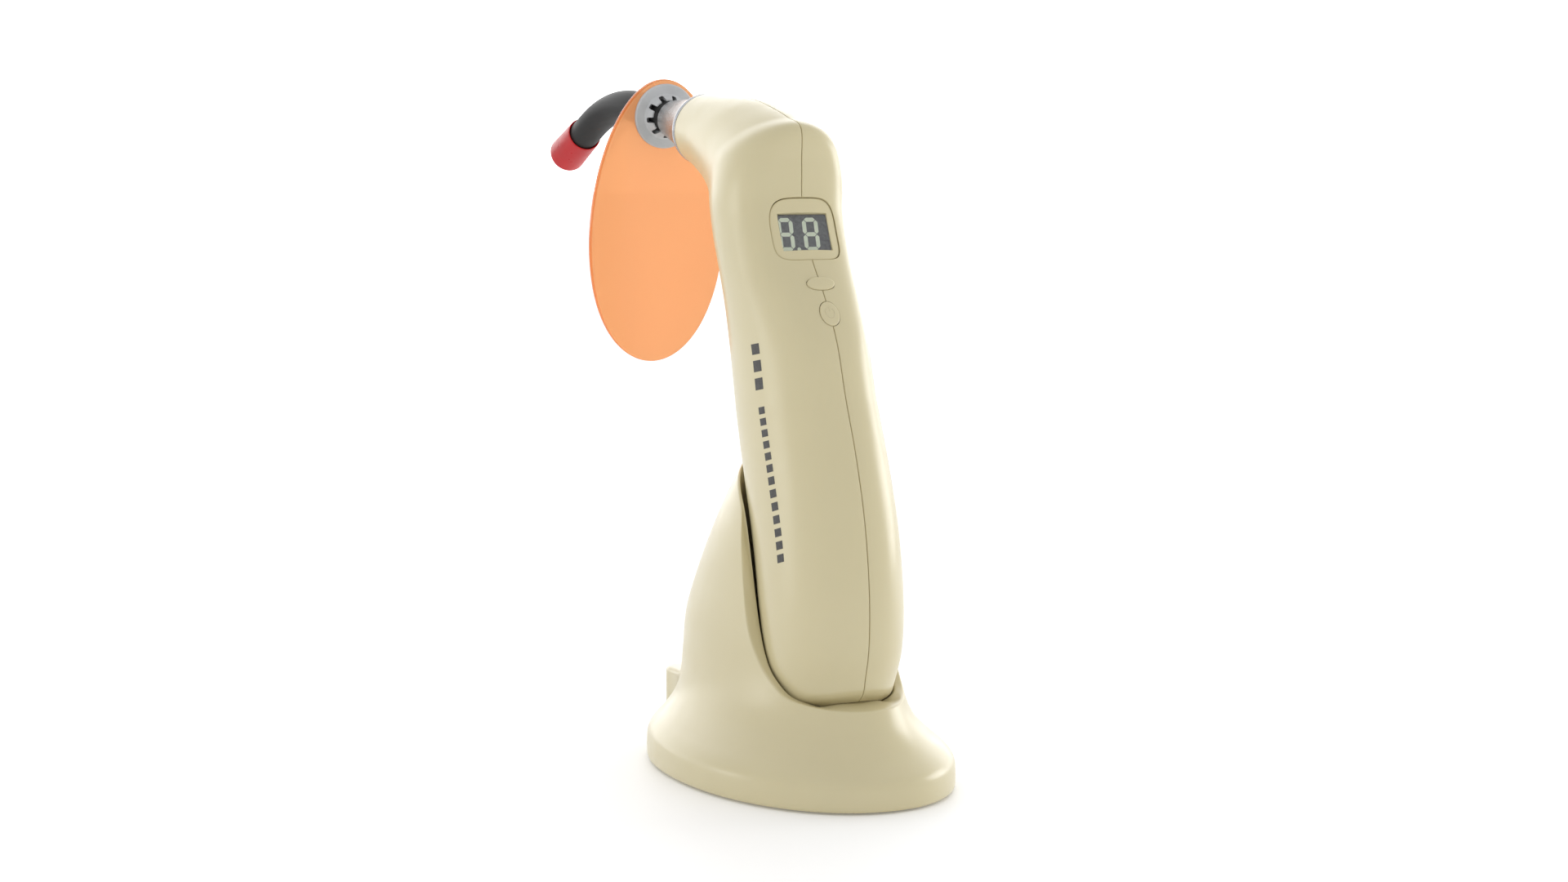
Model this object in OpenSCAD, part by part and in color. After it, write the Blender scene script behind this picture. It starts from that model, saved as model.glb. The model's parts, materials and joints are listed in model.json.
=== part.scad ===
// LED curing light standing in its charging base.
// Frame: +Z up, origin at the centre of the base's footprint on the table, millimetres.
// X = 0 is the symmetry plane; the display faces -Y and the light guide points to +Y.

/* [Base] */
// Half width of the base's footprint, side to side
base_half_w = 41; // [40.5:0.5:42]
// Half length of the base's footprint, back to front
base_half_l = 65; // [64.5:0.5:66]
// Height of the rubber ring below the base plate
foot_h = 0.7; // [0.6:0.1:0.8]
// Wall of the base cover
cover_t = 2.6; // [2.4:0.1:2.8]
// Gap all round between the handpiece and the cradle
cradle_gap = 0.5; // [0.45:0.05:0.6]

/* [Handpiece] */
// Wall of the two casing halves
shell_t = 2.0; // [1.8:0.1:2.1]
// Lean of the grip from upright, top towards the light guide
grip_lean = 17.5; // [17.4:0.1:17.6]
// Battery cell diameter
cell_d = 18.4; // [18:0.1:18.5]
// Battery cell length
cell_l = 65; // [60:1:66]

/* [Display and keys] */
// Width of the display window
window_w = 16.3; // [15.5:0.1:16.5]
// Height of the display window
window_h = 11.9; // [11:0.1:12]
// Travel of the two push buttons
key_travel = 0.4; // [0.3:0.05:0.45]
// Power button width, side to side
power_w = 6.1; // [5.8:0.1:6.2]
// Power button length, along the grip
power_l = 8.3; // [8:0.1:8.4]
// Mode button length, side to side
mode_l = 8.7; // [8.2:0.1:8.8]
// Mode button height
mode_h = 4.4; // [4:0.1:4.5]

/* [Light guide] */
// Upward tilt of the nozzle axis
nozzle_tilt = 7.7; // [7.6:0.1:7.8]
// Radius of the guide's dark sheath
sheath_r = 5.3; // [5.25:0.05:5.35]
// Radius of the glass fibre core
core_r = 4; // [3.9:0.05:4]
// Radius of the ferrule's plug-in spigot
spigot_r = 6; // [5.9:0.05:6]
// Length of the straight run of the guide, from the ring
guide_straight = 56.2; // [55.2:0.5:57.2]
// Bend radius of the guide
bend_r = 85; // [80:1:90]
// Bend angle of the guide
bend_angle = 30; // [26:1:32]
// Straight tip beyond the bend
tip_l = 21.5; // [20.5:0.5:22.5]

/* [Shield] */
// Half width of the eye shield
shield_half_w = 24.0; // [23:0.1:25]
// Half height of the eye shield
shield_half_h = 47.5; // [46:0.5:48]
// Thickness of the eye shield
shield_t = 3.2; // [3:0.1:3.3]
// Distance from the nozzle ring to the shield hub
shield_at = 33.4; // [33:0.1:34]

/* [Hidden] */

$fn = 48;

// Casing stations from the nozzle end to the foot of the grip. Each is a section
// plane through a back point and a front point of the side view:
// [back y, back z, front y, front z, half width, squareness of the back, centre share]
CASING = [
  [65.1, 206.0, 68.2, 183.0, 11.5, 1.00, 0.50],
  [46.7, 205.2, 65.0, 181.8, 12.2, 1.00, 0.50],
  [29.8, 203.6, 60.5, 180.0, 13.4, 1.00, 0.50],
  [17.1, 201.0, 54.5, 177.5, 14.6, 1.00, 0.49],
  [6.7, 198.2, 48.5, 174.5, 16.2, 1.00, 0.48],
  [-2.5, 195.0, 42.5, 170.5, 18.2, 1.03, 0.47],
  [-3.0, 184.5, 38.0, 165.5, 19.4, 1.28, 0.47],
  [-3.6, 171.0, 34.4, 159.0, 19.4, 1.30, 0.48],
  [-9.6, 157.2, 31.4, 149.5, 19.0, 1.24, 0.48],
  [-18.5, 145.8, 29.5, 138.0, 18.6, 1.14, 0.48],
  [-27.0, 132.5, 27.0, 123.0, 18.4, 1.10, 0.49],
  [-32.8, 116.7, 22.0, 105.0, 18.8, 1.08, 0.50],
  [-39.5, 100.5, 15.0, 85.5, 19.4, 1.06, 0.50],
  [-45.4, 81.5, 7.6, 65.8, 19.9, 1.05, 0.50],
  [-48.4, 62.0, 2.7, 47.5, 20.1, 1.04, 0.50],
  [-48.4, 46.0, -1.3, 33.2, 19.4, 1.02, 0.50],
  [-46.0, 35.5, -5.1, 25.3, 17.4, 1.00, 0.50],
  [-44.8, 31.4, -8.8, 21.0, 15.6, 1.00, 0.50],
  [-41.8, 28.4, -13.7, 19.5, 12.2, 1.00, 0.50]];
crown_r = 60;      // crown radius of the back face, across the grip
crease = 14;       // sharpness of the crease round the back face
casing_rings = 46;
casing_steps = 18; // steps round half a casing section

// Base cover sections: [z, inset at the sides, inset in front, inset behind, taper]
COWL = [
  [0.7, 0.6, 0.6, 0.6, 0],
  [1.7, 0, 0, 0, 0],
  [6.6, 0, 0, 0, 0],
  [9.2, 0.5, 0.4, 0.9, 0],
  [11.6, 2.2, 1.7, 3.6, 0],
  [14.8, 5.4, 4.3, 7.4, 0.02],
  [20.0, 9.2, 7.4, 11.4, 0.08],
  [26.0, 11.0, 9.0, 14.2, 0.14],
  [34.0, 11.6, 10.0, 16.2, 0.19],
  [46.0, 12.2, 12.4, 18.0, 0.20],
  [58.5, 14.2, 19.0, 21.0, 0.20],
  [72.0, 16.8, 28.5, 26.0, 0.18],
  [81.0, 19.6, 35.0, 31.0, 0.14],
  [90.0, 23.6, 40.4, 35.0, 0.08],
  [99.0, 29.0, 44.0, 39.0, 0]];
cowl_rings = 34;
cowl_steps = 52;
// Side view of the cowl's rim, low behind the grip and high in front of it
RIM = [[-72, 26.5], [-50, 27.2], [-42, 27.9], [-33, 29.5], [-27, 32.8], [-21, 38], [-15, 47],
  [-10.2, 59.3], [-6.4, 71.7], [-3, 81], [4, 91.5], [14, 97], [26, 100]];
// Cradle sections square to the grip: [w, back v, front v, half width], before the gap
CRADLE = [
  [0.0, -14.8, 14.8, 12.4],
  [2.4, -18.9, 19.2, 16.0],
  [6.5, -22.0, 21.0, 17.9],
  [15.0, -26.7, 22.7, 19.6],
  [31.0, -31.4, 22.9, 20.4],
  [50.0, -34.3, 23.1, 20.4],
  [70.0, -34.6, 23.8, 20.4],
  [96.0, -34.6, 25.0, 20.4]];
cradle_rings = 18;
cradle_steps = 44;

// Grip frame: origin at the middle of the grip's foot, +Z up the grip
grip_y = -27.75;
grip_z = 23.95;
// Nozzle frame: origin at the middle of the nozzle ring, +Z out along the guide
ring_y = 68;
ring_z = 194.7;
ring_r = 11.6;
// Display frame and key frame: +Z out of the face, +Y up the face
face_y = -6.7;
face_z = 164.8;
face_turn = 67.6;
keys_y = -19.05;
keys_z = 144.9;
keys_turn = 54.9;
key_spacing = 5.25; // of each button from the middle of the two
key_gap = 0.2;      // round a button in its hole
cap_mouth = 8.2;   // mouth of the red cap, along the tip
cap_end = 29;      // its closed end
hub_slots = 9;     // between the fingers that grip the guide
plate_at = shield_at + 1.2; // back of the eye shield, beyond the hub's flange
wall_screws = [[-20, 42, 14.6], [-20, 84, 14.4]]; // grip frame v, w and boss length
head_screw = [15, 170, 18];                       // y, z and boss length
base_screw_at = [22.5, 34];
pin_x = 6;
jack_z = 16.5;
jack_face_y = 59.5;

// ---- curves and sections ----

function clampi(i, n) = min(max(i, 0), n);

// Smooth curve through the rows of a table, s = 0 .. rows - 1
function smooth_row(tab, s) =
  let (n = len(tab) - 1, i = min(floor(s), n - 1), t = s - i,
    p1 = tab[i], p2 = tab[i + 1],
    p0 = i == 0 ? 2 * p1 - p2 : tab[i - 1],
    p3 = i + 2 > n ? 2 * p2 - p1 : tab[i + 2])
  0.5 * (2 * p1 + (p2 - p0) * t + (2 * p0 - 5 * p1 + 4 * p2 - p3) * t * t
    + (3 * p1 - p0 - 3 * p2 + p3) * t * t * t);

// Distance from a section's centre to its outline in direction th (0 = towards the back)
function section_r(back, front, half_w, square, th) =
  let (c = cos(th), s = sin(th),
    r1 = 1 / sqrt(pow(c / (c > 0 ? square * back : front), 2) + pow(s / half_w, 2)),
    flat = back * pow(max(1 - pow(square, -crease), 0.000001), -1 / crease),
    crown = max(crown_r, flat),
    o = flat - crown,
    r2 = o * c + sqrt(crown * crown - o * o * s * s))
  c > 0 ? pow(pow(r1, -crease) + pow(r2, -crease), -1 / crease) : r1;

// Point of the casing at station s in direction th, moved inwards by inset
function casing_point(s, th, inset) =
  let (q = smooth_row(CASING, s), dy = q[0] - q[2], dz = q[1] - q[3],
    chord = norm([dy, dz]), uy = dy / chord, uz = dz / chord,
    back = q[6] * chord - inset, front = (1 - q[6]) * chord - inset,
    cy = q[0] - uy * q[6] * chord, cz = q[1] - uz * q[6] * chord,
    r = section_r(back, front, q[4] - inset, max(q[5], 1), th))
  [-r * sin(th), cy + uy * r * cos(th), cz + uz * r * cos(th)];

// Depth of the wall inside station s: deeper round the top corner of the head,
// where the section planes lie nearly along the surface
function wall_at(s) = shell_t * (1 + 0.8 * exp(-pow((s - 4.2) / 1.4, 2)));

// Closed ring of the cowl at table position s, counter-clockwise seen from above
function cowl_ring(s) =
  let (q = smooth_row(COWL, s), w = base_half_w - q[1],
    front = base_half_l - q[2], back = q[3] - base_half_l,
    mid = (front + back) / 2, half = (front - back) / 2)
  [for (j = [0 : cowl_steps - 1]) let (a = 360 * j / cowl_steps)
    [-w * sin(a) * (1 - q[4] * (1 - cos(a)) / 2), mid + half * cos(a), q[0]]];

// Closed ring of the cradle in the grip frame
function cradle_ring(s) =
  let (q = smooth_row(CRADLE, s), mid = (q[1] + q[2]) / 2, half = (q[2] - q[1]) / 2)
  [for (j = [0 : cradle_steps - 1]) let (a = 360 * j / cradle_steps,
      r = section_r(half + cradle_gap, half + cradle_gap, q[3] + cradle_gap, 1.05, a + 180))
    [-r * sin(a), mid + r * cos(a), q[0]]];

// Solid through a stack of closed rings
module ring_stack(rings) {
  m = len(rings);
  n = len(rings[0]);
  pts = [for (ring = rings) each ring];
  sides = [for (i = [0 : m - 2], j = [0 : n - 1])
    let (a = i * n + j, b = i * n + (j + 1) % n, c = b + n, d = a + n)
    each [[a, d, c], [a, c, b]]];
  foot = [for (j = [0 : n - 1]) j];
  top = [for (j = [n - 1 : -1 : 0]) (m - 1) * n + j];
  polyhedron(points = pts, faces = concat(sides, [foot, top]));
}

// Wall of one casing half (the -X one), closed at the foot and open at the nozzle
module casing_wall() {
  m = casing_rings;
  n = casing_steps;
  last = len(CASING) - 1;
  outer = [for (i = [0 : m - 1], j = [0 : n])
    casing_point(i * last / (m - 1), 180 * j / n, 0)];
  inner = [for (i = [0 : m - 1], j = [0 : n]) let (s = i * (last - 1) / (m - 1))
    casing_point(s, 180 * j / n, wall_at(s))];
  k = m * (n + 1);
  function o(i, j) = i * (n + 1) + j;
  function q(i, j) = k + i * (n + 1) + j;
  e = m - 1;
  skin = [for (i = [0 : m - 2], j = [0 : n - 1]) each [
    [o(i, j + 1), o(i, j), o(i + 1, j)], [o(i, j + 1), o(i + 1, j), o(i + 1, j + 1)],
    [q(i + 1, j), q(i, j), q(i, j + 1)], [q(i + 1, j + 1), q(i + 1, j), q(i, j + 1)]]];
  seam = [for (i = [0 : m - 2]) each [
    [o(i, 0), q(i, 0), q(i + 1, 0)], [o(i, 0), q(i + 1, 0), o(i + 1, 0)],
    [q(i, n), o(i, n), o(i + 1, n)], [q(i, n), o(i + 1, n), q(i + 1, n)]]];
  mouth = [for (j = [0 : n - 1]) each [
    [o(0, j), o(0, j + 1), q(0, j + 1)], [o(0, j), q(0, j + 1), q(0, j)]]];
  foot = [for (j = [1 : n - 1]) each [
    [o(e, 0), o(e, j + 1), o(e, j)], [q(e, 0), q(e, j), q(e, j + 1)]]];
  sill = [[q(e, 0), q(e, n), o(e, n)], [q(e, 0), o(e, n), o(e, 0)]];
  polyhedron(points = concat(outer, inner), faces = concat(skin, seam, mouth, foot, sill));
}

// ---- local frames ----

module in_grip() {
  translate([0, grip_y, grip_z]) rotate([-grip_lean, 0, 0]) children();
}

module in_nozzle() {
  translate([0, ring_y, ring_z]) rotate([nozzle_tilt - 90, 0, 0]) children();
}

module in_face() {
  translate([0, face_y, face_z]) rotate([face_turn, 0, 0]) children();
}

module in_keys() {
  translate([0, keys_y, keys_z]) rotate([keys_turn, 0, 0]) children();
}

// Frame of the guide's straight tip, beyond the bend
module in_tip() {
  in_nozzle()
    translate([0, bend_r * (1 - cos(bend_angle)), guide_straight + bend_r * sin(bend_angle)])
      rotate([-bend_angle, 0, 0]) children();
}

// ---- shared shapes ----

module tube(r_out, r_in, h) {
  difference() {
    cylinder(r = r_out, h = h);
    translate([0, 0, -1]) cylinder(r = r_in, h = h + 2);
  }
}

// Prism with straight sides and round ends, l long along X, centred
module slot_prism(l, w, h) {
  linear_extrude(h) {
    square([l - w, w], center = true);
    for (side = [-1, 1]) translate([side * (l - w) / 2, 0]) circle(d = w);
  }
}

module centred_box(size) {
  translate([-size[0] / 2, -size[1] / 2, 0]) cube(size);
}

// Arched outline of the display bezel, grown by g
module bezel_outline(g) {
  steps = 56;
  half_w = 10.8 + g;
  up = 10.2 + g;
  down = 9.4 + g;
  polygon([for (j = [0 : steps - 1]) let (a = 360 * j / steps, c = cos(a), s = sin(a),
      tall = s > 0 ? up : down, power = s > 0 ? 0.62 : 0.42)
    [sign(c) * half_w * pow(abs(c), 0.42), sign(s) * tall * pow(abs(s), power)]]);
}

// The bent guide from start on the nozzle axis to the tip, r_out to r_in (0 = solid)
module guide_run(r_out, r_in, start) {
  in_nozzle() translate([0, 0, start]) guide_piece(r_out, r_in, guide_straight - start);
  in_nozzle() translate([0, bend_r, guide_straight]) rotate([90, 0, -90])
    rotate_extrude(angle = bend_angle, $fn = 180) translate([bend_r, 0]) difference() {
      circle(r = r_out);
      if (r_in > 0) circle(r = r_in);
    }
  // the tip reaches back into the bend, a hair slimmer, so that the two fuse
  in_tip() translate([0, 0, -0.5])
    guide_piece(r_out - 0.02, r_in > 0 ? r_in + 0.02 : 0, tip_l + 0.5);
}

module guide_piece(r_out, r_in, h) {
  difference() {
    cylinder(r = r_out, h = h);
    if (r_in > 0) translate([0, 0, -1]) cylinder(r = r_in, h = h + 2);
  }
}

// ---- handpiece casing ----

module casing_cuts() {
  in_face() translate([0, 0, -4.5]) linear_extrude(8) bezel_outline(0.15);
  in_keys() {
    translate([0, key_spacing, -4]) slot_prism(mode_l + 2 * key_gap, mode_h + 2 * key_gap, 8);
    translate([0, -key_spacing, -4]) rotate([0, 0, 90])
      slot_prism(power_l + 2 * key_gap, power_w + 2 * key_gap, 8);
  }
  in_grip() for (side = [-1, 1]) translate([side * pin_x, 0, -1]) cylinder(r = 2.65, h = 4.5);
}

module screw_places() {
  in_grip() for (p = wall_screws) translate([0, p[0], p[1]]) rotate([0, 90, 0]) children();
  translate([0, head_screw[0], head_screw[1]]) rotate([0, 90, 0]) children();
}

// Screw bosses from the split plane to the wall, on the side of sign
module screw_bosses(sign, r) {
  in_grip() for (p = wall_screws) translate([0, p[0], p[1]]) rotate([0, sign * 90, 0])
    cylinder(r = r, h = p[2]);
  translate([0, head_screw[0], head_screw[1]]) rotate([0, sign * 90, 0])
    cylinder(r = r, h = head_screw[2]);
}

module left_shell() {
  color("ivory") difference() {
    union() {
      casing_wall();
      screw_bosses(-1, 3);
    }
    casing_cuts();
    screw_places() translate([0, 0, -10]) cylinder(r = 1.3, h = 11);
  }
}

module right_shell() {
  color("ivory") difference() {
    union() {
      mirror([1, 0, 0]) casing_wall();
      screw_bosses(1, 4);
    }
    casing_cuts();
    screw_places() {
      translate([0, 0, -1]) cylinder(r = 1.6, h = 10);
      translate([0, 0, 7]) cylinder(r = 2.9, h = 20);
    }
  }
}

module shell_screws() {
  color("silver") screw_places() {
    difference() {
      translate([0, 0, 7]) cylinder(r = 2.6, h = 2);
      for (turn = [0, 90]) rotate([0, 0, turn]) translate([-1.5, -0.3, 8.2]) cube([3, 0.6, 2]);
    }
    translate([0, 0, -8]) cylinder(r = 1.25, h = 15);
  }
}

module display_bezel() {
  color("beige") in_face() difference() {
    translate([0, 0, -2.4]) linear_extrude(3) bezel_outline(0);
    translate([-window_w / 2, -window_h / 2 - 0.4, -4]) cube([window_w, window_h, 8]);
  }
}

module display_window() {
  color("lightgray", 0.4) in_face()
    translate([-window_w / 2 + 0.1, -window_h / 2 - 0.3, -1.7])
      cube([window_w - 0.2, window_h - 0.2, 1]);
}

module lcd_panel() {
  color("dimgray") in_face() translate([-9.5, -7.9, -4.5]) cube([19, 15, 2]);
}

module mode_button() {
  color("wheat") in_keys() translate([0, key_spacing, 0]) {
    translate([0, 0, -3.2]) slot_prism(mode_l, mode_h, 3.7);
    translate([0, 0, -3.9]) slot_prism(mode_l + 1.8, mode_h + 1.8, 0.8);
    translate([0, 0, -4.6]) cylinder(r = 1.4, h = 1);
  }
}

module power_button() {
  color("wheat") in_keys() translate([0, -key_spacing, 0]) {
    translate([0, 0, -3.2]) rotate([0, 0, 90]) slot_prism(power_l, power_w, 3.7);
    translate([0, 0, -3.9]) rotate([0, 0, 90]) slot_prism(power_l + 1.8, power_w + 1.8, 0.8);
    translate([0, 0, -4.6]) cylinder(r = 1.4, h = 1);
  }
}

module key_board() {
  color("darkgreen") in_keys() translate([-9, -11, -8.2]) cube([18, 20, 1.2]);
}

module tact_switches() {
  color("dimgray") in_keys() for (side = [-1, 1]) translate([0, side * key_spacing, -7]) {
    centred_box([6, 6, 1.6]);
    cylinder(r = 1.6, h = 1.6 + 0.75 - key_travel);
  }
}

// ---- inside the grip ----

module main_board() {
  color("darkgreen") in_grip() translate([-12, -15.4, 16]) cube([24, 1.6, 92]);
}

module buzzer() {
  color("black") in_grip() translate([0, -15.4, 98]) rotate([90, 0, 0]) tube(4.5, 0.8, 3.2);
}

module battery_cell() {
  color("steelblue") in_grip() translate([0, 2, 9]) {
    cylinder(d = cell_d, h = cell_l - 1.4);
    translate([0, 0, cell_l - 1.4]) cylinder(r = 3, h = 1.4);
  }
}

module battery_tray() {
  color("dimgray") in_grip() translate([0, 2, 6]) difference() {
    cylinder(r = 11, h = cell_l + 8);
    translate([0, 0, 1.5]) cylinder(d = cell_d + 0.2, h = cell_l + 5);
    translate([-15, 2, -1]) cube([30, 20, cell_l + 12]);
  }
}

module battery_contacts() {
  color("gold") in_grip() translate([0, 2, 0]) {
    translate([-4, -5, 7.6]) cube([8, 6, 1.4]);
    translate([-4, -5, 9 + cell_l]) cube([8, 6, 2.4]);
  }
}

module charge_pads() {
  color("gold") in_grip() for (side = [-1, 1]) translate([side * pin_x, 0, 0])
    cylinder(r = 2.6, h = 2.8);
}

// ---- light engine ----

module led_heat_sink() {
  color("silver") in_nozzle() difference() {
    translate([0, 0, -46]) cylinder(r = 9.2, h = 22);
    for (i = [0 : 4]) translate([0, 0, -44 + 3.6 * i]) tube(12, 5, 1.8);
  }
}

module led_module() {
  color("white") in_nozzle() {
    translate([0, 0, -24]) cylinder(r = 8.5, h = 1.6);
    translate([0, 0, -22.4]) centred_box([5, 5, 0.9]);
    translate([0, 0, -21.5]) cylinder(r = 1.8, h = 0.8);
  }
}

module collimating_lens() {
  color("lightcyan", 0.5) in_nozzle() rotate_extrude()
    polygon([[0, -20.4], [3, -20.4], [7.8, -17], [7.8, -16.2], [0, -16.2]]);
}

module nozzle_socket() {
  color("dimgray") in_nozzle() rotate_extrude() difference() {
    translate([spigot_r + 0.06, -16]) square([9.2 - spigot_r - 0.06, 14.6]);
    translate([0, -8.6]) square([spigot_r + 1.1, 1.7]);
  }
}

module nozzle_ring() {
  color("silver") in_nozzle() rotate_extrude() difference() {
    polygon([[spigot_r + 0.3, -1.3], [ring_r, -1.3], [ring_r, 0.7], [ring_r - 0.5, 1.1],
      [spigot_r + 0.3, 1.1]]);
  }
}

module guide_retaining_ring() {
  color("silver") in_nozzle() translate([0, 0, -8.5]) tube(spigot_r + 1, spigot_r + 0.05, 1.5);
}

// ---- light guide ----

module guide_ferrule() {
  color("silver") in_nozzle() rotate_extrude() polygon([
    [core_r + 0.05, -15.5], [spigot_r - 0.5, -15.5], [spigot_r, -15], [spigot_r, 1.3],
    [9.6, 1.3], [10, 1.7], [10, 2.6], [6.3, 26.2], [6, 26.5],
    [sheath_r + 0.03, 26.5], [sheath_r + 0.03, 16], [core_r + 0.05, 16]]);
}

module guide_sheath() {
  color("dimgray") guide_run(sheath_r, core_r + 0.05, 16);
}

module fibre_core() {
  color("lightyellow") guide_run(core_r, 0, -15.5);
}

module tip_cap() {
  color("firebrick") in_tip() rotate_extrude() {
    bore = sheath_r + 0.06;
    shut = tip_l + 0.5;
    translate([0, shut]) square([bore, cap_end - shut]);
    difference() {
      union() {
        polygon([[bore, cap_mouth], [5.9, cap_mouth], [6.5, cap_end - 3], [bore, cap_end - 3]]);
        translate([0, cap_end - 3]) square([3.5, 3]);
        translate([3.5, cap_end - 3]) intersection() {
          circle(r = 3);
          square(3);
        }
      }
      square([bore, shut]);
    }
  }
}

// ---- eye shield ----

module shield_plate() {
  color("orange", 0.6) in_nozzle() translate([0, 0, plate_at]) difference() {
    linear_extrude(shield_t) polygon([for (a = [0 : 6 : 354])
      [shield_half_w * sin(a), 35.5 + 4 * pow(sin(a), 2) + shield_half_h * cos(a)]]);
    translate([0, 0, -1]) cylinder(r = 8.03, h = shield_t + 2);
  }
}

module shield_hub() {
  color("silver") in_nozzle() difference() {
    union() {
      translate([0, 0, shield_at - 2.4]) cylinder(r1 = 6, r2 = 7.6, h = 2.5);
      translate([0, 0, shield_at]) cylinder(r = 10.7, h = 1.2);
      translate([0, 0, plate_at]) cylinder(r = 8, h = shield_t);
      translate([0, 0, plate_at + shield_t]) cylinder(r = 9.6, h = 1.4);
    }
    translate([0, 0, shield_at - 4]) cylinder(r = sheath_r + 0.08, h = 14);
    for (i = [1 : hub_slots]) rotate([0, 0, 360 * i / hub_slots]) translate([-0.9, 0, shield_at - 3])
      cube([1.8, 7, 5]);
  }
}

// ---- charging base ----

module cowl_solid() {
  last = len(COWL) - 1;
  ring_stack([for (i = [0 : cowl_rings]) cowl_ring(last * i / cowl_rings)]);
}

module above_rim() {
  steps = 40;
  last = len(RIM) - 1;
  rotate([90, 0, 90]) translate([0, 0, -60]) linear_extrude(120) polygon(concat(
    [for (i = [0 : steps]) smooth_row(RIM, last * i / steps)],
    [[26, 140], [-72, 140]]));
}

module cradle_space() {
  last = len(CRADLE) - 1;
  in_grip() translate([0, 0, -0.08])
    ring_stack([for (i = [0 : cradle_rings]) cradle_ring(last * i / cradle_rings)]);
}

// Room for the electronics in front of the cradle: [z, side, back y, front y]
NOSE_ROOM = [[8, 18, 2, 51], [22, 18, 3.5, 50.5], [40, 18, 6, 48], [56, 16, 12, 41],
  [70, 12, 17, 31.5], [76, 8.5, 19.5, 27.5]];

module nose_room() {
  steps = 28;
  ring_stack([for (q = NOSE_ROOM) [for (j = [0 : steps - 1]) let (a = 360 * j / steps)
    [-q[1] * sin(a), (q[2] + q[3]) / 2 + (q[3] - q[2]) / 2 * cos(a), q[0]]]]);
}

module foot_room() {
  steps = 52;
  ring_stack([for (q = [[0, 0, 0], [8.4, 0.3, 0.5], [12.5, 8.5, 10]])
    [for (j = [0 : steps - 1]) let (a = 360 * j / steps, t = cover_t)
      [-(base_half_w - t - q[1]) * sin(a), (base_half_l - t - q[2]) * cos(a), q[0]]]]);
}

// Block behind the cowl, grown by g, from height z0 to z1
module jack_housing(g, z0, z1) {
  half_w = 21 + g;
  r = 8 + g;
  translate([0, jack_face_y - 22, z0]) linear_extrude(z1 - z0) {
    translate([-half_w, 0]) square([2 * half_w, 14]);
    translate([r - half_w, 0]) square([2 * (half_w - r), 22 + g]);
    for (side = [-1, 1]) translate([side * (half_w - r), 14]) circle(r = r);
  }
}

module base_cover() {
  color("ivory") difference() {
    union() {
      difference() {
        cowl_solid();
        foot_room();
      }
      difference() {
        jack_housing(0, 6, 24.5);
        jack_housing(-2.2, 4, 22.3);
      }
      at_base_screws() translate([0, 0, 3]) cylinder(r = 3.2, h = 10.5);
    }
    above_rim();
    cradle_space();
    nose_room();
    in_grip() translate([-11, -7.5, -24]) cube([22, 15, 12.2]);
    in_grip() for (side = [-1, 1]) translate([side * pin_x, 0, -13]) cylinder(r = 2.03, h = 14);
    translate([0, 50, jack_z]) rotate([-90, 0, 0]) cylinder(r = 4.1, h = 20);
    translate([-4.8, 45, jack_z - 5.3]) cube([9.6, 12.1, 10.1]);
    at_base_screws() translate([0, 0, 2]) cylinder(r = 1.3, h = 8);
  }
}

module at_base_screws() {
  for (sx = [-1, 1], sy = [-1, 1])
    translate([sx * base_screw_at[0], sy * base_screw_at[1], 0]) children();
}

// Oval slab, its outline set in by gap from the footprint
module oval_slab(gap, h) {
  steps = 72;
  linear_extrude(h) polygon([for (j = [0 : steps - 1]) let (a = 360 * j / steps)
    [(base_half_w - gap) * sin(a), (base_half_l - gap) * cos(a)]]);
}

module base_plate() {
  color("gainsboro") difference() {
    translate([0, 0, foot_h]) oval_slab(cover_t + 0.2, 2);
    at_base_screws() {
      cylinder(r = 1.5, h = 5);
      cylinder(r = 2.9, h = 1.8);
    }
  }
}

module base_weight() {
  color("slategray") translate([-17, -48, foot_h + 2.1]) cube([34, 44, 5]);
}

module foot_ring() {
  color("black") difference() {
    oval_slab(4.4, foot_h);
    translate([0, 0, -1]) oval_slab(8.4, foot_h + 2);
  }
}

module base_screws() {
  color("silver") at_base_screws() difference() {
    union() {
      translate([0, 0, 1]) cylinder(r = 2.6, h = 0.8);
      translate([0, 0, 1.8]) cylinder(r = 1.25, h = 7);
    }
    for (turn = [0, 90]) rotate([0, 0, turn]) translate([-1.5, -0.3, 0.5]) cube([3, 0.6, 0.9]);
  }
}

module charger_board() {
  color("darkgreen") translate([-14, 6, 5]) cube([28, 36, 1.6]);
}

module contact_board() {
  color("darkgreen") in_grip() translate([-10, -6.5, -13.6]) cube([20, 13, 1.6]);
}

module pin_barrels() {
  color("gold") in_grip() for (side = [-1, 1]) translate([side * pin_x, 0, -12])
    tube(2, 1.05, 11.6);
}

module charge_pin(side) {
  color("gold") in_grip() translate([side * pin_x, 0, -8]) cylinder(r = 1, h = 7.97);
}

module left_charge_pin() {
  charge_pin(-1);
}

module right_charge_pin() {
  charge_pin(1);
}

module dc_jack() {
  color("black") translate([0, jack_face_y - 0.4, jack_z]) rotate([90, 0, 0]) {
    difference() {
      union() {
        cylinder(r = 4, h = 3);
        translate([-4.5, -5, 2.4]) cube([9, 9.5, 11]);
      }
      translate([0, 0, -1]) cylinder(r = 3, h = 10.5);
    }
    cylinder(r = 1, h = 10);
  }
}

left_shell();
right_shell();
shell_screws();
display_bezel();
display_window();
lcd_panel();
mode_button();
power_button();
key_board();
tact_switches();
main_board();
buzzer();
battery_cell();
battery_tray();
battery_contacts();
led_heat_sink();
led_module();
collimating_lens();
nozzle_socket();
nozzle_ring();
charge_pads();
guide_retaining_ring();
guide_ferrule();
guide_sheath();
fibre_core();
tip_cap();
shield_plate();
shield_hub();
base_cover();
base_plate();
base_weight();
foot_ring();
base_screws();
charger_board();
contact_board();
pin_barrels();
left_charge_pin();
right_charge_pin();
dc_jack();
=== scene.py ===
"""LED curing light in its charging base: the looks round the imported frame. Lengths are millimetres."""
import json
import math
from bisect import bisect_left

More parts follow.
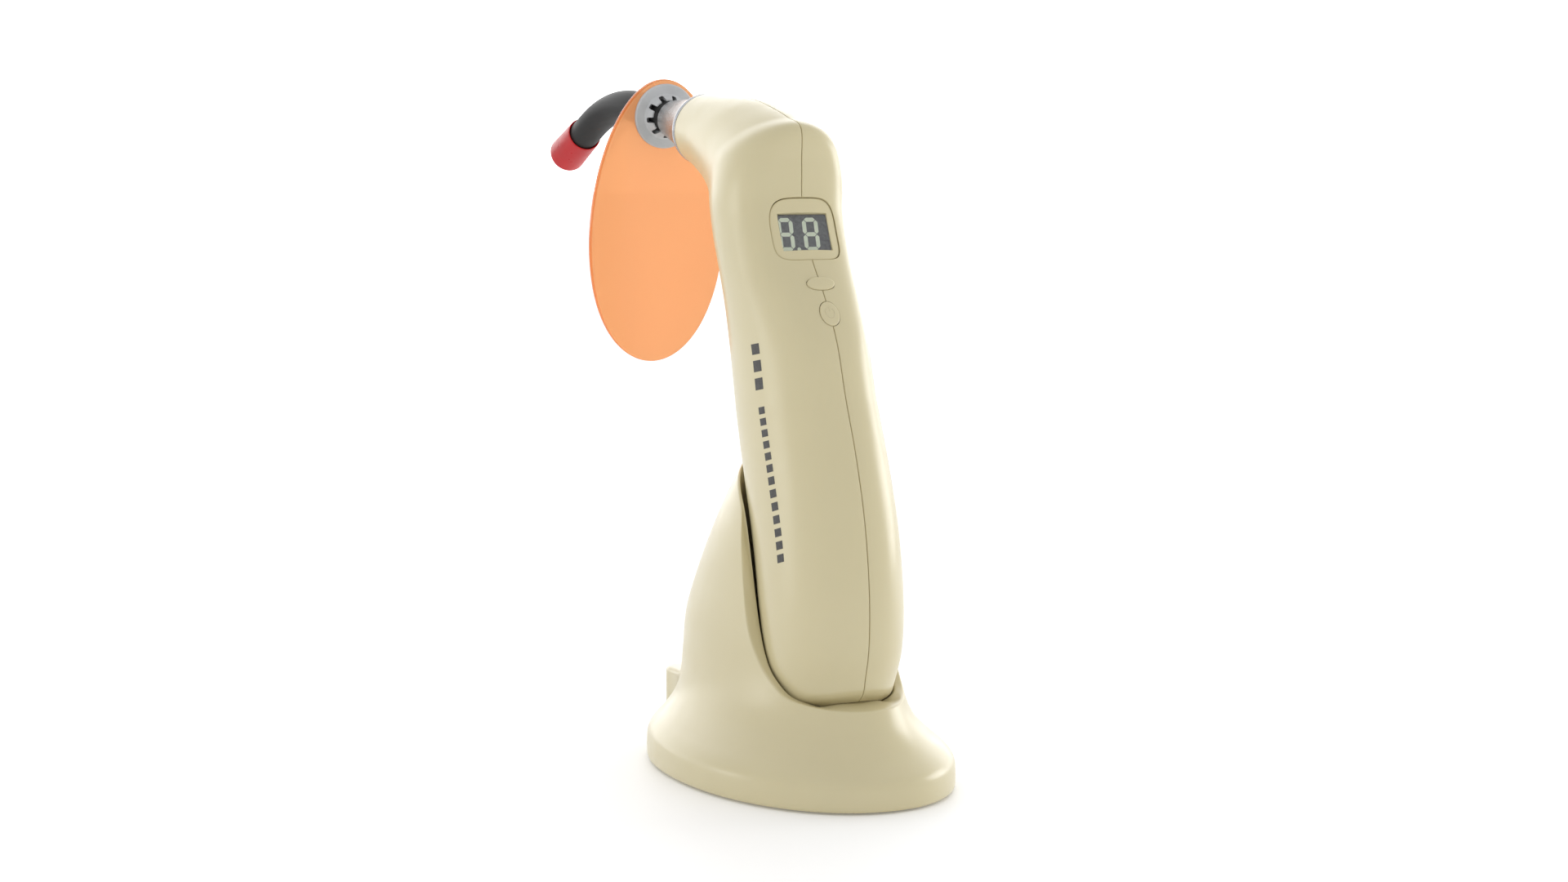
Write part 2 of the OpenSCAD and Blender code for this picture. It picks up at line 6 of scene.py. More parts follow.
import bmesh
import bpy
from mathutils import Matrix, Vector
from mathutils.bvhtree import BVHTree


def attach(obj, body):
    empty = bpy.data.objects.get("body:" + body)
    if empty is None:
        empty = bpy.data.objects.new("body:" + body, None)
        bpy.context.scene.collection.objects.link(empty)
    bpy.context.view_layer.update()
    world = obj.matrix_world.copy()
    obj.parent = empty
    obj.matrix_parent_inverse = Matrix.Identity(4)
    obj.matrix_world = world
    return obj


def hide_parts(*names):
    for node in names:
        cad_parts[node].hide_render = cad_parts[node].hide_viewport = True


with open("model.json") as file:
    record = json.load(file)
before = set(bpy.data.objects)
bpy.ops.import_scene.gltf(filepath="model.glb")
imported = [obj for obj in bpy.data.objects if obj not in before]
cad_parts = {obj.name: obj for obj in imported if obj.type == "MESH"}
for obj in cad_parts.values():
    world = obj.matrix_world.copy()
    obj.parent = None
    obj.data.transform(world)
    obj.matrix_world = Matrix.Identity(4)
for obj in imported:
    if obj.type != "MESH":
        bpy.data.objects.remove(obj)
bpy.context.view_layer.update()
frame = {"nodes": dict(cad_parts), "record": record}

MM = 0.001
TURN = 2 * math.pi
QUARTER = (0, 0.4, 0.8, 1.2, math.pi / 2)   # angles of the points round a rounded edge

# ---- the design's own tables, as in the part's source ----

# Casing stations from the nozzle to the foot of the grip:
# back y, back z, front y, front z, half width, squareness of the back, centre share
CASING = [
    [65.1, 206.0, 68.2, 183.0, 11.5, 1.00, 0.50],
    [46.7, 205.2, 65.0, 181.8, 12.2, 1.00, 0.50],
    [29.8, 203.6, 60.5, 180.0, 13.4, 1.00, 0.50],
    [17.1, 201.0, 54.5, 177.5, 14.6, 1.00, 0.49],
    [6.7, 198.2, 48.5, 174.5, 16.2, 1.00, 0.48],
    [-2.5, 195.0, 42.5, 170.5, 18.2, 1.03, 0.47],
    [-3.0, 184.5, 38.0, 165.5, 19.4, 1.28, 0.47],
    [-3.6, 171.0, 34.4, 159.0, 19.4, 1.30, 0.48],
    [-9.6, 157.2, 31.4, 149.5, 19.0, 1.24, 0.48],
    [-18.5, 145.8, 29.5, 138.0, 18.6, 1.14, 0.48],
    [-27.0, 132.5, 27.0, 123.0, 18.4, 1.10, 0.49],
    [-32.8, 116.7, 22.0, 105.0, 18.8, 1.08, 0.50],
    [-39.5, 100.5, 15.0, 85.5, 19.4, 1.06, 0.50],
    [-45.4, 81.5, 7.6, 65.8, 19.9, 1.05, 0.50],
    [-48.4, 62.0, 2.7, 47.5, 20.1, 1.04, 0.50],
    [-48.4, 46.0, -1.3, 33.2, 19.4, 1.02, 0.50],
    [-46.0, 35.5, -5.1, 25.3, 17.4, 1.00, 0.50],
    [-44.8, 31.4, -8.8, 21.0, 15.6, 1.00, 0.50],
    [-41.8, 28.4, -13.7, 19.5, 12.2, 1.00, 0.50]]
CROWN_R = 60          # radius across the casing's back
CREASE = 14           # exponent that rounds the corner between its back and its sides
SHELL_T = 2.0
SEAM_GAP = 0.09       # half the gap between the casing halves, outside
SEAM_INSIDE = 0.005   # and at the inner wall, where they all but touch
SEAM_ROUND = 0.35     # radius along the seam

# Printed marks: first station, length, pitch, count and half width as an angle
MARK_RUNS = [(9.86, 0.20, 0.31, 3, 0.10), (10.97, 0.12, 0.19, 13, 0.075)]
MARK_AT = math.radians(66)   # their direction round the grip
MARK_RISE = 0.03             # how far they stand out of the casing
MARK_SINK = 0.04             # and how far they reach into it

# Base cover
HALF_W, HALF_L = 41, 65     # half the footprint
# Rows up the cover: z, inset at the sides, inset in front, inset behind, taper
COWL = [
    [0.7, 0.6, 0.6, 0.6, 0], [1.7, 0, 0, 0, 0], [6.6, 0, 0, 0, 0], [9.2, 0.5, 0.4, 0.9, 0],
    [11.6, 2.2, 1.7, 3.6, 0], [14.8, 5.4, 4.3, 7.4, 0.02], [20.0, 9.2, 7.4, 11.4, 0.08],
    [26.0, 11.0, 9.0, 14.2, 0.14], [34.0, 11.6, 10.0, 16.2, 0.19], [46.0, 12.2, 12.4, 18.0, 0.20],
    [58.5, 14.2, 19.0, 21.0, 0.20], [72.0, 16.8, 28.5, 26.0, 0.18], [81.0, 19.6, 35.0, 31.0, 0.14],
    [90.0, 23.6, 40.4, 35.0, 0.08], [99.0, 29.0, 44.0, 39.0, 0]]
FOOT_POWER = 0.96   # below 1, squarer than an ellipse
# Rim of the cowl in the side view: y, z
RIM = [[-72, 26.5], [-50, 27.2], [-42, 27.9], [-33, 29.5], [-27, 32.8], [-21, 38], [-15, 47],
       [-10.2, 59.3], [-6.4, 71.7], [-3, 81], [4, 91.5], [14, 97], [26, 100]]
# Cradle: height up the grip, back, front, half width
CRADLE = [
    [0.0, -14.8, 14.8, 12.4], [2.4, -18.9, 19.2, 16.0], [6.5, -22.0, 21.0, 17.9],
    [15.0, -26.7, 22.7, 19.6], [31.0, -31.4, 22.9, 20.4], [50.0, -34.3, 23.1, 20.4],
    [70.0, -34.6, 23.8, 20.4], [96.0, -34.6, 25.0, 20.4]]
CRADLE_GAP = 0.25     # between the cradle and the grip
CRADLE_SQUARE = 1.05  # squareness of the cradle's front
CRADLE_DROP = 0.08    # how far the cradle lies below the grip's foot
COVER_T = 2.6
LIP_T = 0.9           # least thickness of the cowl's tip, behind the grip
EDGE_ROUND = 0.8      # rounding of the rim's outer edge
ROW_RISE = 11         # about how far apart the upper rows of COWL are
COVER_COLUMNS = 264
FOOT_TOP = 6          # the row of COWL where the foot ends and the cowl starts
# Places along the rows of COWL on the foot, closer together where it curves
FOOT_ROWS = [0.0, 0.3, 0.65, 1.0, 1.5, 2.0, 2.25, 2.5, 2.75, 3.0, 3.2, 3.4, 3.6, 3.8, 4.0, 4.25, 4.5,
             4.75, 5.0, 5.25, 5.5, 5.75, 6.0]

# Display, buttons and contacts
LCD_TOP = -2.6        # height of the display's surface in the face frame
LCD_T = 1.4
LCD_HALF, PANE_HALF = (8.7, 6.6), (8.0, 5.8)   # half sizes of the panel and of the clear pane
PANE_SPAN = (0.1, 0.5)   # the pane's underside and top above the panel
PANE_SHIFT = -0.3
BEZEL_GAP = 0.16
BEZEL_SINK = 0.3      # how far the bezel lies below the casing
POWER_W, POWER_L = 6.1, 8.3
MODE_W, MODE_H = 8.8, 4.5
MODE_POWER = 0.93     # below 1, squarer than an ellipse
KEY_GAP = 0.18
KEY_SPACING = 5.25    # from the middle between the keys to each
CONTACT_X = 6         # charge pads and pins, from the centre plane
PAD_HOLE_R = 2.65
PIN_HOLE_R = 2.03
PIN_BOARD = (-11, 11, -7.5, 7.5)       # room for the pins' board: x and y from and to, in the grip frame
JACK_ROOM = (-4.8, 4.8, 45, 57.1)      # room for the inlet: x and y from and to
JACK_HOLE_R = 4.1

# Light guide and shield, from the nozzle's mouth
RING_R = 11.6
SPIGOT_R = 6.0
SHEATH_R = 5.3
CORE_R = 4.0
GUIDE_STRAIGHT = 56.2
BEND_R = 85
BEND_ANGLE = math.radians(30)
TIP_L = 21.5          # straight run after the bend
CAP_AT, CAP_END = 8.2, 29   # mouth and end of the cap, from the end of the bend
SHIELD_AT = 33.4      # front of the hub's flange
SHIELD_T = 3.2
SHIELD_HALF_W, SHIELD_HALF_L = 24.0, 47.5
PLATE_AT = SHIELD_AT + 1.2
HUB_R = 8.0           # of the neck that the shield sits on
HUB_SLOTS = 9

# Stage
BRIGHT_SIDE = Vector((0.36, 0.89, -0.28)).normalized()   # where most of the light comes from
WORLD_RANGE = {"From Min": 0.1, "From Max": 1.0, "To Min": 0.82, "To Max": 2.6}
FLOOR_HALF = 9000
CAMERA_AT = (-0.36889, -0.77300, 0.19114)   # metres
CAMERA_HEADING, CAMERA_PITCH = math.radians(25.24), math.radians(6.015)
CAMERA_LENS, SENSOR_W = 65.4, 36


def tilted(y, z, degrees):
    """A frame at (0, y, z) in mm, turned about X."""
    return Matrix.Translation((0, y, z)) @ Matrix.Rotation(math.radians(degrees), 4, "X")


GRIP = tilted(-27.75, 23.95, -17.5)
NOZZLE = tilted(68, 194.7, 7.7 - 90)
FACE = tilted(-6.7, 164.8, 67.6)
KEYS = tilted(-19.05, 144.9, 54.9)
JACK = tilted(50, 16.5, -90)
# the casing's screws: frame, place in it along Y and Z, and length of the boss
SCREWS = [(GRIP, -20, 42, 14.6), (GRIP, -20, 84, 14.4), (Matrix.Identity(4), 15, 170, 18)]


def bend_frame(angle):
    """Frame on the guide's bend, turned by angle from the straight run."""
    return (NOZZLE @ Matrix.Translation((0, BEND_R * (1 - math.cos(angle)),
                                         GUIDE_STRAIGHT + BEND_R * math.sin(angle)))
            @ Matrix.Rotation(-angle, 4, "X"))


TIP = bend_frame(BEND_ANGLE)
GRIP_INVERSE = GRIP.inverted()


# ---- curves and meshes ----

def smooth_row(table, s):
    """Catmull-Rom curve through the rows of a table, s = 0 .. rows - 1."""
    n = len(table) - 1
    i = min(max(int(math.floor(s)), 0), n - 1)
    t = s - i
    p1, p2 = table[i], table[i + 1]
    p0 = table[i - 1] if i else [2 * a - b for a, b in zip(p1, p2)]
    p3 = table[i + 2] if i + 2 <= n else [2 * b - a for a, b in zip(p1, p2)]
    return [0.5 * (2 * b + (c - a) * t + (2 * a - 5 * b + 4 * c - d) * t * t
                   + (3 * b - a - 3 * c + d) * t ** 3)
            for a, b, c, d in zip(p0, p1, p2, p3)]


def root(f, low, high, steps=34):
    """Where f, which rises from low to high, crosses zero."""
    for _ in range(steps):
        mid = (low + high) / 2
        if f(mid) < 0:
            low = mid
        else:
            high = mid
    return (low + high) / 2


def signed_power(value, power):
    """A power that keeps the sign, for ovals that are squarer than an ellipse."""
    return math.copysign(abs(value) ** power, value)


def section_r(back, front, half_w, square, th):
    """Distance from a section's centre to its outline, th = 0 towards the back."""
    c, s = math.cos(th), math.sin(th)
    r1 = 1 / math.hypot(c / (square * back if c > 0 else front), s / half_w)
    if c <= 0:
        return r1
    flat = back * max(1 - square ** -CREASE, 1e-6) ** (-1 / CREASE)
    crown = max(CROWN_R, flat)
    middle = flat - crown
    r2 = middle * c + math.sqrt(crown * crown - middle * middle * s * s)
    return (r1 ** -CREASE + r2 ** -CREASE) ** (-1 / CREASE)


def casing_point(s, th, inset):
    """Point of the casing at station s, in direction th of the section, inset from its skin."""
    by, bz, fy, fz, half_w, square, share = smooth_row(CASING, s)
    chord = math.hypot(by - fy, bz - fz)
    uy, uz = (by - fy) / chord, (bz - fz) / chord
    r = section_r(share * chord - inset, (1 - share) * chord - inset, half_w - inset,
                  max(square, 1), th)
    return Vector((-r * math.sin(th), by - uy * share * chord + uy * r * math.cos(th),
                   bz - uz * share * chord + uz * r * math.cos(th)))


def wall_at(s):
    """Thickness of the casing's wall, more in the bend of the head."""
    return SHELL_T * (1 + 0.8 * math.exp(-((s - 4.2) / 1.4) ** 2))


def bridge(rows, cols, closed, first=0):
    """Quads over a grid of vertices, wrapped round the columns if closed."""
    faces = []
    for i in range(rows - 1):
        for j in range(cols if closed else cols - 1):
            k = (j + 1) % cols
            a, b = first + i * cols, first + (i + 1) * cols
            faces.append((a + j, a + k, b + k, b + j))
    return faces


def mesh_piece(name, verts, faces, smooth=True):
    """A new object from vertices in mm, its normals made outward."""
    mesh = bpy.data.meshes.new(name)
    mesh.from_pydata([Vector(v) * MM for v in verts], [], faces)
    bm = bmesh.new()
    bm.from_mesh(mesh)
    bmesh.ops.remove_doubles(bm, verts=bm.verts, dist=1e-7)
    bmesh.ops.recalc_face_normals(bm, faces=bm.faces)
    bm.to_mesh(mesh)
    bm.free()
    obj = bpy.data.objects.new(name, mesh)
    bpy.context.scene.collection.objects.link(obj)
    if smooth:
        mesh.shade_smooth()
    return obj


def ring_solid(name, rings, place=None, loop=False, smooth=True):
    """A closed solid through rings of equal length: capped at both ends, or a loop of rings."""
    cols = len(rings[0])
    verts = [Vector(p) for ring in rings for p in ring]
    faces = bridge(len(rings), cols, True)
    if loop:
        last = (len(rings) - 1) * cols
        faces += [(last + j, last + (j + 1) % cols, (j + 1) % cols, j) for j in range(cols)]
    else:
        for start in (0, (len(rings) - 1) * cols):
            centre = sum((verts[start + j] for j in range(cols)), Vector()) / cols
            verts.append(centre)
            faces += [(start + j, start + (j + 1) % cols, len(verts) - 1) for j in range(cols)]
    if place is not None:
        verts = [place @ v for v in verts]
    return mesh_piece(name, verts, faces, smooth)


def lathe(name, profile, place, steps=96, loop=False):
    """A turned solid: profile holds (radius, height) from one end to the other, or a closed loop."""
    return ring_solid(name, [at_height(circle(r, steps), z) for r, z in profile], place, loop)


def bend(a, corner, b, t):
    """Point t of the curve from a to b that rounds off a corner."""
    return a * (1 - t) ** 2 + corner * 2 * t * (1 - t) + b * t * t


def rounded(points, radius, steps=5):
    """An open profile with its inner corners rounded."""
    out = [points[0]]
    for before, corner, after in zip(points, points[1:], points[2:]):
        c = Vector(corner)
        to_a, to_b = Vector(before) - c, Vector(after) - c
        cut_off = min(radius, 0.45 * to_a.length, 0.45 * to_b.length)
        a, b = c + to_a.normalized() * cut_off, c + to_b.normalized() * cut_off
        out += [tuple(bend(a, c, b, i / steps)) for i in range(steps + 1)]
    out.append(points[-1])
    return out


def apply_modifier(obj, mod):
    """Bakes an object's one modifier into its mesh."""
    bpy.context.view_layer.update()
    mesh = bpy.data.meshes.new_from_object(obj.evaluated_get(bpy.context.evaluated_depsgraph_get()))
    obj.modifiers.remove(mod)
    obj.data = mesh


def boolean(obj, cutter, operation="DIFFERENCE"):
    """Applies one boolean and removes the cutter."""
    mod = obj.modifiers.new("cut", "BOOLEAN")
    mod.operation = operation
    mod.solver = "EXACT"
    mod.object = cutter
    apply_modifier(obj, mod)
    bpy.data.objects.remove(cutter)


def bevel(obj, width, segments=2):
    """Rounds an object's sharp edges."""
    mod = obj.modifiers.new("round", "BEVEL")
    mod.width = width * MM
    mod.segments = segments
    mod.limit_method = "ANGLE"
    mod.angle_limit = math.radians(40)
    apply_modifier(obj, mod)
    obj.data.shade_smooth()


def crisp(obj, degrees=32):
    """Smooth shading with edges kept where the surface turns sharply."""
    obj.data.shade_smooth()
    bm = bmesh.new()
    bm.from_mesh(obj.data)
    limit = math.radians(degrees)
    for edge in bm.edges:
        edge.smooth = not (edge.is_manifold and edge.calc_face_angle(0) > limit)
    bm.to_mesh(obj.data)
    bm.free()


def outline_prism(name, outline, z0, z1, place):
    """A flat outline drawn up from z0 to z1 of a frame."""
    return ring_solid(name, [at_height(outline, z) for z in (z0, z1)], place, smooth=False)


def cut(obj, outline, z0, z1, place):
    """Cuts a prism out of an object."""
    boolean(obj, outline_prism("cut", outline, z0, z1, place))


def oval(half_x, half_y, steps=72, power=1.0):
    """An oval outline: an ellipse at power 1, squarer below it."""
    return [(signed_power(math.cos(TURN * j / steps), power) * half_x,
             signed_power(math.sin(TURN * j / steps), power) * half_y) for j in range(steps)]


def circle(r, steps=48):
    """A round outline."""
    return oval(r, r, steps)


def box_outline(x0, x1, y0, y1):
    return [(x0, y0), (x1, y0), (x1, y1), (x0, y1)]


def at_height(outline, z):
    """A flat outline as a ring at height z."""
    return [(x, y, z) for x, y in outline]


def shifted(outline, dx, dy):
    return [(x + dx, y + dy) for x, y in outline]


# ---- materials ----

def shade(color, factor):
    """A colour made darker or lighter."""
    return tuple(min(c * factor, 1) for c in color)


class Surface:
    """A node material: a Principled shader with short helpers for its inputs."""

    def __init__(self, name, color, roughness, **sockets):
        self.material = bpy.data.materials.new(name)
        self.material.use_nodes = True
        self.nodes = self.material.node_tree.nodes
        self.links = self.material.node_tree.links
        self.shader = self.nodes["Principled BSDF"]
        self.color = color
        self.shader.inputs["Base Color"].default_value = (*color, 1)
        self.shader.inputs["Roughness"].default_value = roughness
        for socket, value in sockets.items():
            self.shader.inputs[socket.replace("_", " ")].default_value = value
        self.place = self.nodes.new("ShaderNodeTexCoord").outputs["Object"]

    def noise(self, scale, detail, stretch=None):
        """Noise over the object, scale in features per metre."""
        place = self.place
        if stretch:
            mapping = self.nodes.new("ShaderNodeMapping")
            mapping.inputs["Scale"].default_value = stretch
            self.links.new(place, mapping.inputs["Vector"])
            place = mapping.outputs["Vector"]
        tex = self.nodes.new("ShaderNodeTexNoise")
        tex.inputs["Scale"].default_value = scale
        tex.inputs["Detail"].default_value = detail
        self.links.new(place, tex.inputs["Vector"])
        return tex.outputs["Fac"]

    def ramp(self, value, stops):
        """Colours over a value: stops are (position, colour or grey)."""
        node = self.nodes.new("ShaderNodeValToRGB")
        ramp = node.color_ramp
        while len(ramp.elements) < len(stops):
            ramp.elements.new(0.5)
        for element, (position, color) in zip(ramp.elements, stops):
            element.position = position
            element.color = (color, color, color, 1) if isinstance(color, float) else (*color, 1)
        self.links.new(value, node.inputs["Fac"])
        return node.outputs["Color"]

    def color_from(self, value, stops):
        self.links.new(self.ramp(value, stops), self.shader.inputs["Base Color"])

    def mottle(self, value, dark, light, low=0.3):
        """The surface's own colour, a little darker and lighter over a value."""
        self.color_from(value, [(low, shade(self.color, dark)), (1 - low, shade(self.color, light))])

    def roughness_from(self, value, low, high):
        self.links.new(self.ramp(value, [(0.3, low), (0.7, high)]), self.shader.inputs["Roughness"])

    def bump(self, value, distance, strength):
        """Relief of a value, its depth in mm."""
        node = self.nodes.new("ShaderNodeBump")
        node.inputs["Distance"].default_value = distance * MM
        node.inputs["Strength"].default_value = strength
        self.links.new(value, node.inputs["Height"])
        self.links.new(node.outputs["Normal"], self.shader.inputs["Normal"])


IVORY = (0.62, 0.55, 0.335)


def ivory_plastic(name, color, low=0.28, high=0.36):
    """Moulded ivory plastic: faint flow mottling, fine spark texture, satin gloss."""
    s = Surface(name, color, 0.3, IOR=1.6, Coat_Weight=0.2, Coat_Roughness=0.2, Subsurface_Weight=0.06,
                Subsurface_Radius=(0.004, 0.003, 0.0015), Subsurface_Scale=0.6)
    s.color_from(s.noise(38, 4, (1, 1, 0.45)),
                 [(0.32, shade(color, 0.985)), (0.5, color), (0.68, shade(color, 1.012))])
    s.roughness_from(s.noise(160, 5), low, high)
    s.bump(s.noise(4200, 2), 0.0012, 0.3)
    return s.material


def clear_plastic(name, color, roughness=0.03):
    """Clear plastic or glass, faintly uneven."""
    s = Surface(name, color, roughness, IOR=1.49, Transmission_Weight=1.0)
    s.roughness_from(s.noise(420, 3), roughness, roughness + 0.03)
    s.bump(s.noise(60, 2), 0.015, 0.2)
    s.mottle(s.noise(25, 2), 0.98, 1.01, 0.35)
    return s.material


def shield_plastic(axis):
    """Orange filter plastic: part clear, part glowing with its own colour, with painted light at its rim: a
    deeper orange where the plate is seen edge-on.
    """
    color = (1.0, 0.49, 0.215)
    s = Surface("shield_orange", color, 0.12, IOR=1.3, Transmission_Weight=0.2)
    facing = s.nodes.new("ShaderNodeVectorMath")
    facing.operation = "DOT_PRODUCT"
    facing.inputs[1].default_value = axis
    s.links.new(s.nodes["Texture Coordinate"].outputs["Normal"], facing.inputs[0])
    flat = s.nodes.new("ShaderNodeMath")
    flat.operation = "ABSOLUTE"
    s.links.new(facing.outputs["Value"], flat.inputs[0])
    # painted light: faces seen edge-on get a deeper orange in place of the light carried through the plate
    # to its rim
    s.color_from(flat.outputs["Value"], [(0.25, (0.80, 0.20, 0.01)), (0.9, color)])
    s.roughness_from(s.noise(300, 3), 0.08, 0.14)
    clear = s.nodes.new("ShaderNodeBsdfTransparent")
    clear.inputs["Color"].default_value = (1.0, 0.72, 0.52, 1)
    mix = s.nodes.new("ShaderNodeMixShader")
    mix.inputs["Fac"].default_value = 0.16
    s.links.new(s.shader.outputs["BSDF"], mix.inputs[1])
    s.links.new(clear.outputs["BSDF"], mix.inputs[2])
    s.links.new(mix.outputs["Shader"], s.nodes["Material Output"].inputs["Surface"])
    return s.material


def metal(name, color, low, high, bump=0.004):
    """Polished, turned or cast metal."""
    s = Surface(name, color, low, Metallic=1.0)
    s.mottle(s.noise(140, 4), 0.93, 1.04, 0.35)
    s.roughness_from(s.noise(700, 4), low, high)
    if bump:
        s.bump(s.noise(3200, 2), bump, 0.5)
    return s.material


def matt_plastic(name, color, low=0.45, high=0.6, grain=2600, depth=0.02):
    """Matt plastic, rubber or ceramic with a fine grain."""
    s = Surface(name, color, low, IOR=1.48)
    s.mottle(s.noise(80, 4), 0.86, 1.12, 0.35)
    s.roughness_from(s.noise(300, 4), low, high)
    s.bump(s.noise(grain, 3), depth, 0.5)
    return s.material


def circuit_board():
    """Green solder mask with a network of traces under it."""
    s = Surface("solder_mask", (0.02, 0.16, 0.07), 0.35, Coat_Weight=0.4)
    cells = s.nodes.new("ShaderNodeTexVoronoi")
    cells.feature = "DISTANCE_TO_EDGE"
    cells.inputs["Scale"].default_value = 520
    s.links.new(s.place, cells.inputs["Vector"])
    trace, mask = (0.05, 0.30, 0.13), (0.015, 0.13, 0.06)
    s.color_from(cells.outputs["Distance"], [(0.0, trace), (0.06, trace), (0.09, mask)])
    s.roughness_from(s.noise(500, 3), 0.28, 0.45)
    s.bump(cells.outputs["Distance"], 0.03, 0.4)
    return s.material


def make_materials():
    """One material for each of the record's slots."""
    return {
        "casing_plastic": ivory_plastic("ivory_casing", IVORY),
        "base_plastic": ivory_plastic("ivory_base", shade(IVORY, 0.985)),
        "bezel_plastic": ivory_plastic("ivory_bezel", shade(IVORY, 1.01), 0.32, 0.42),
        "key_plastic": ivory_plastic("ivory_keys", shade(IVORY, 1.01), 0.32, 0.42),
        "plate_plastic": matt_plastic("ivory_plate", shade(IVORY, 0.9), 0.5, 0.65),
        "window_clear": clear_plastic("clear_window", (0.94, 0.96, 0.95)),
        "lcd_glass": lcd_glass(),
        "board_green": circuit_board(),
        "black_plastic": matt_plastic("black_plastic", (0.018, 0.018, 0.02)),
        "tray_plastic": matt_plastic("tray_plastic", (0.09, 0.09, 0.10)),
        "socket_plastic": matt_plastic("socket_plastic", (0.04, 0.04, 0.045)),
        "cell_wrap": cell_wrap(),
        "contact_gold": metal("contact_gold", (0.85, 0.62, 0.28), 0.18, 0.3),
        "sink_aluminium": metal("sink_aluminium", (0.72, 0.73, 0.75), 0.28, 0.42),
        "led_ceramic": matt_plastic("led_ceramic", (0.82, 0.82, 0.78), 0.35, 0.5, 4000, 0.01),
        "lens_glass": clear_plastic("lens_glass", (0.96, 0.98, 0.99), 0.01),
        "ring_chrome": metal("ring_chrome", (0.50, 0.51, 0.53), 0.06, 0.14, 0),
        "spring_steel": metal("spring_steel", (0.6, 0.6, 0.62), 0.25, 0.4),
        "ferrule_metal": metal("ferrule_metal", (0.52, 0.52, 0.52), 0.2, 0.28, 0),
        "sheath_dark": sheath(),
        "core_glass": clear_plastic("core_glass", (0.93, 0.90, 0.82), 0.05),
        "cap_red": cap_plastic(),
        "shield_orange": shield_plastic(NOZZLE.to_3x3() @ Vector((0, 0, 1))),
        "hub_grey": matt_plastic("hub_grey", (0.50, 0.51, 0.52), 0.35, 0.48, 3000, 0.01),
        "screw_steel": metal("screw_steel", (0.62, 0.62, 0.64), 0.25, 0.4),
        "weight_iron": metal("weight_iron", (0.22, 0.22, 0.23), 0.5, 0.7, 0.05),
        "foot_rubber": matt_plastic("foot_rubber", (0.025, 0.025, 0.025), 0.7, 0.85, 1500, 0.05),
    }


def lcd_glass():
    """Dark display with a faint violet-grey sheen and fine pixel texture."""
    s = Surface("lcd_glass", (0.095, 0.095, 0.105), 0.25, Coat_Weight=0.5, Coat_Roughness=0.1)
    s.mottle(s.noise(220, 3), 0.95, 1.05)
    s.roughness_from(s.noise(900, 3), 0.25, 0.3)
    return s.material


def cell_wrap():
    """Blue shrink wrap with fine wrinkles along the cell."""
    s = Surface("cell_wrap", (0.03, 0.12, 0.36), 0.3, Coat_Weight=0.3)
    s.mottle(s.noise(30, 4, (1, 1, 0.2)), 0.8, 1.2)
    s.roughness_from(s.noise(200, 4), 0.22, 0.4)
    s.bump(s.noise(300, 3, (1, 1, 0.15)), 0.05, 0.3)
    return s.material


def sheath():
    """Near-black drawn jacket, faintly streaked along the guide."""
    s = Surface("sheath_dark", (0.026, 0.026, 0.026), 0.42, IOR=1.2, Specular_IOR_Level=0.3)
    s.mottle(s.noise(120, 4, (1, 0.08, 1)), 0.85, 1.2)
    s.roughness_from(s.noise(260, 4, (1, 0.1, 1)), 0.38, 0.48)
    s.bump(s.noise(1500, 2, (1, 0.1, 1)), 0.01, 0.4)
    return s.material


def cap_plastic():
    """Soft red plastic that lets a little light in."""
    s = Surface("cap_red", (0.46, 0.012, 0.016), 0.3, IOR=1.3, Subsurface_Weight=0.35,
                Subsurface_Radius=(0.006, 0.0012, 0.0012), Subsurface_Scale=0.5)
    s.mottle(s.noise(90, 3), 0.9, 1.1)
    s.roughness_from(s.noise(300, 3), 0.26, 0.38)
    s.bump(s.noise(900, 2), 0.015, 0.3)
    return s.material


def digit_ink():
    """Pale green-white of the lit display segments."""
    color = (0.80, 0.85, 0.68)
    s = Surface("digit_ink", color, 0.4, Emission_Color=(*color, 1), Emission_Strength=0.12)
    s.mottle(s.noise(500, 3), 0.95, 1.05)
    s.roughness_from(s.noise(700, 2), 0.35, 0.45)
    return s.material


def print_ink():
    """Dark pad-printed ink, slightly uneven."""
    s = Surface("print_ink", (0.045, 0.043, 0.04), 0.5)
    s.mottle(s.noise(1800, 4), 0.8, 1.35, 0.35)
    s.roughness_from(s.noise(900, 3), 0.42, 0.58)
    s.bump(s.noise(4000, 2), 0.01, 0.4)
    return s.material


MATERIALS = make_materials()


def dress(obj, body, slot, *nodes, ink=None):
    """Gives the piece its material, the slot's or the ink, puts it on its body and hides the CAD nodes that
    it stands for.
    """
    obj.data.materials.clear()
    obj.data.materials.append(ink or MATERIALS[slot])
    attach(obj, body)
    if nodes:
        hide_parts(*nodes)


# ---- handpiece pieces ----

def bezel_outline(grow, steps=144):
    """Arched outline of the bezel: flatter sides, rounder top."""
    points = []
    for j in range(steps):
        c, s = math.cos(TURN * j / steps), math.sin(TURN * j / steps)
        tall, power = (10.2, 0.62) if s > 0 else (9.4, 0.42)
        points.append((signed_power(c, 0.42) * (10.8 + grow), signed_power(s, power) * (tall + grow)))
    return points


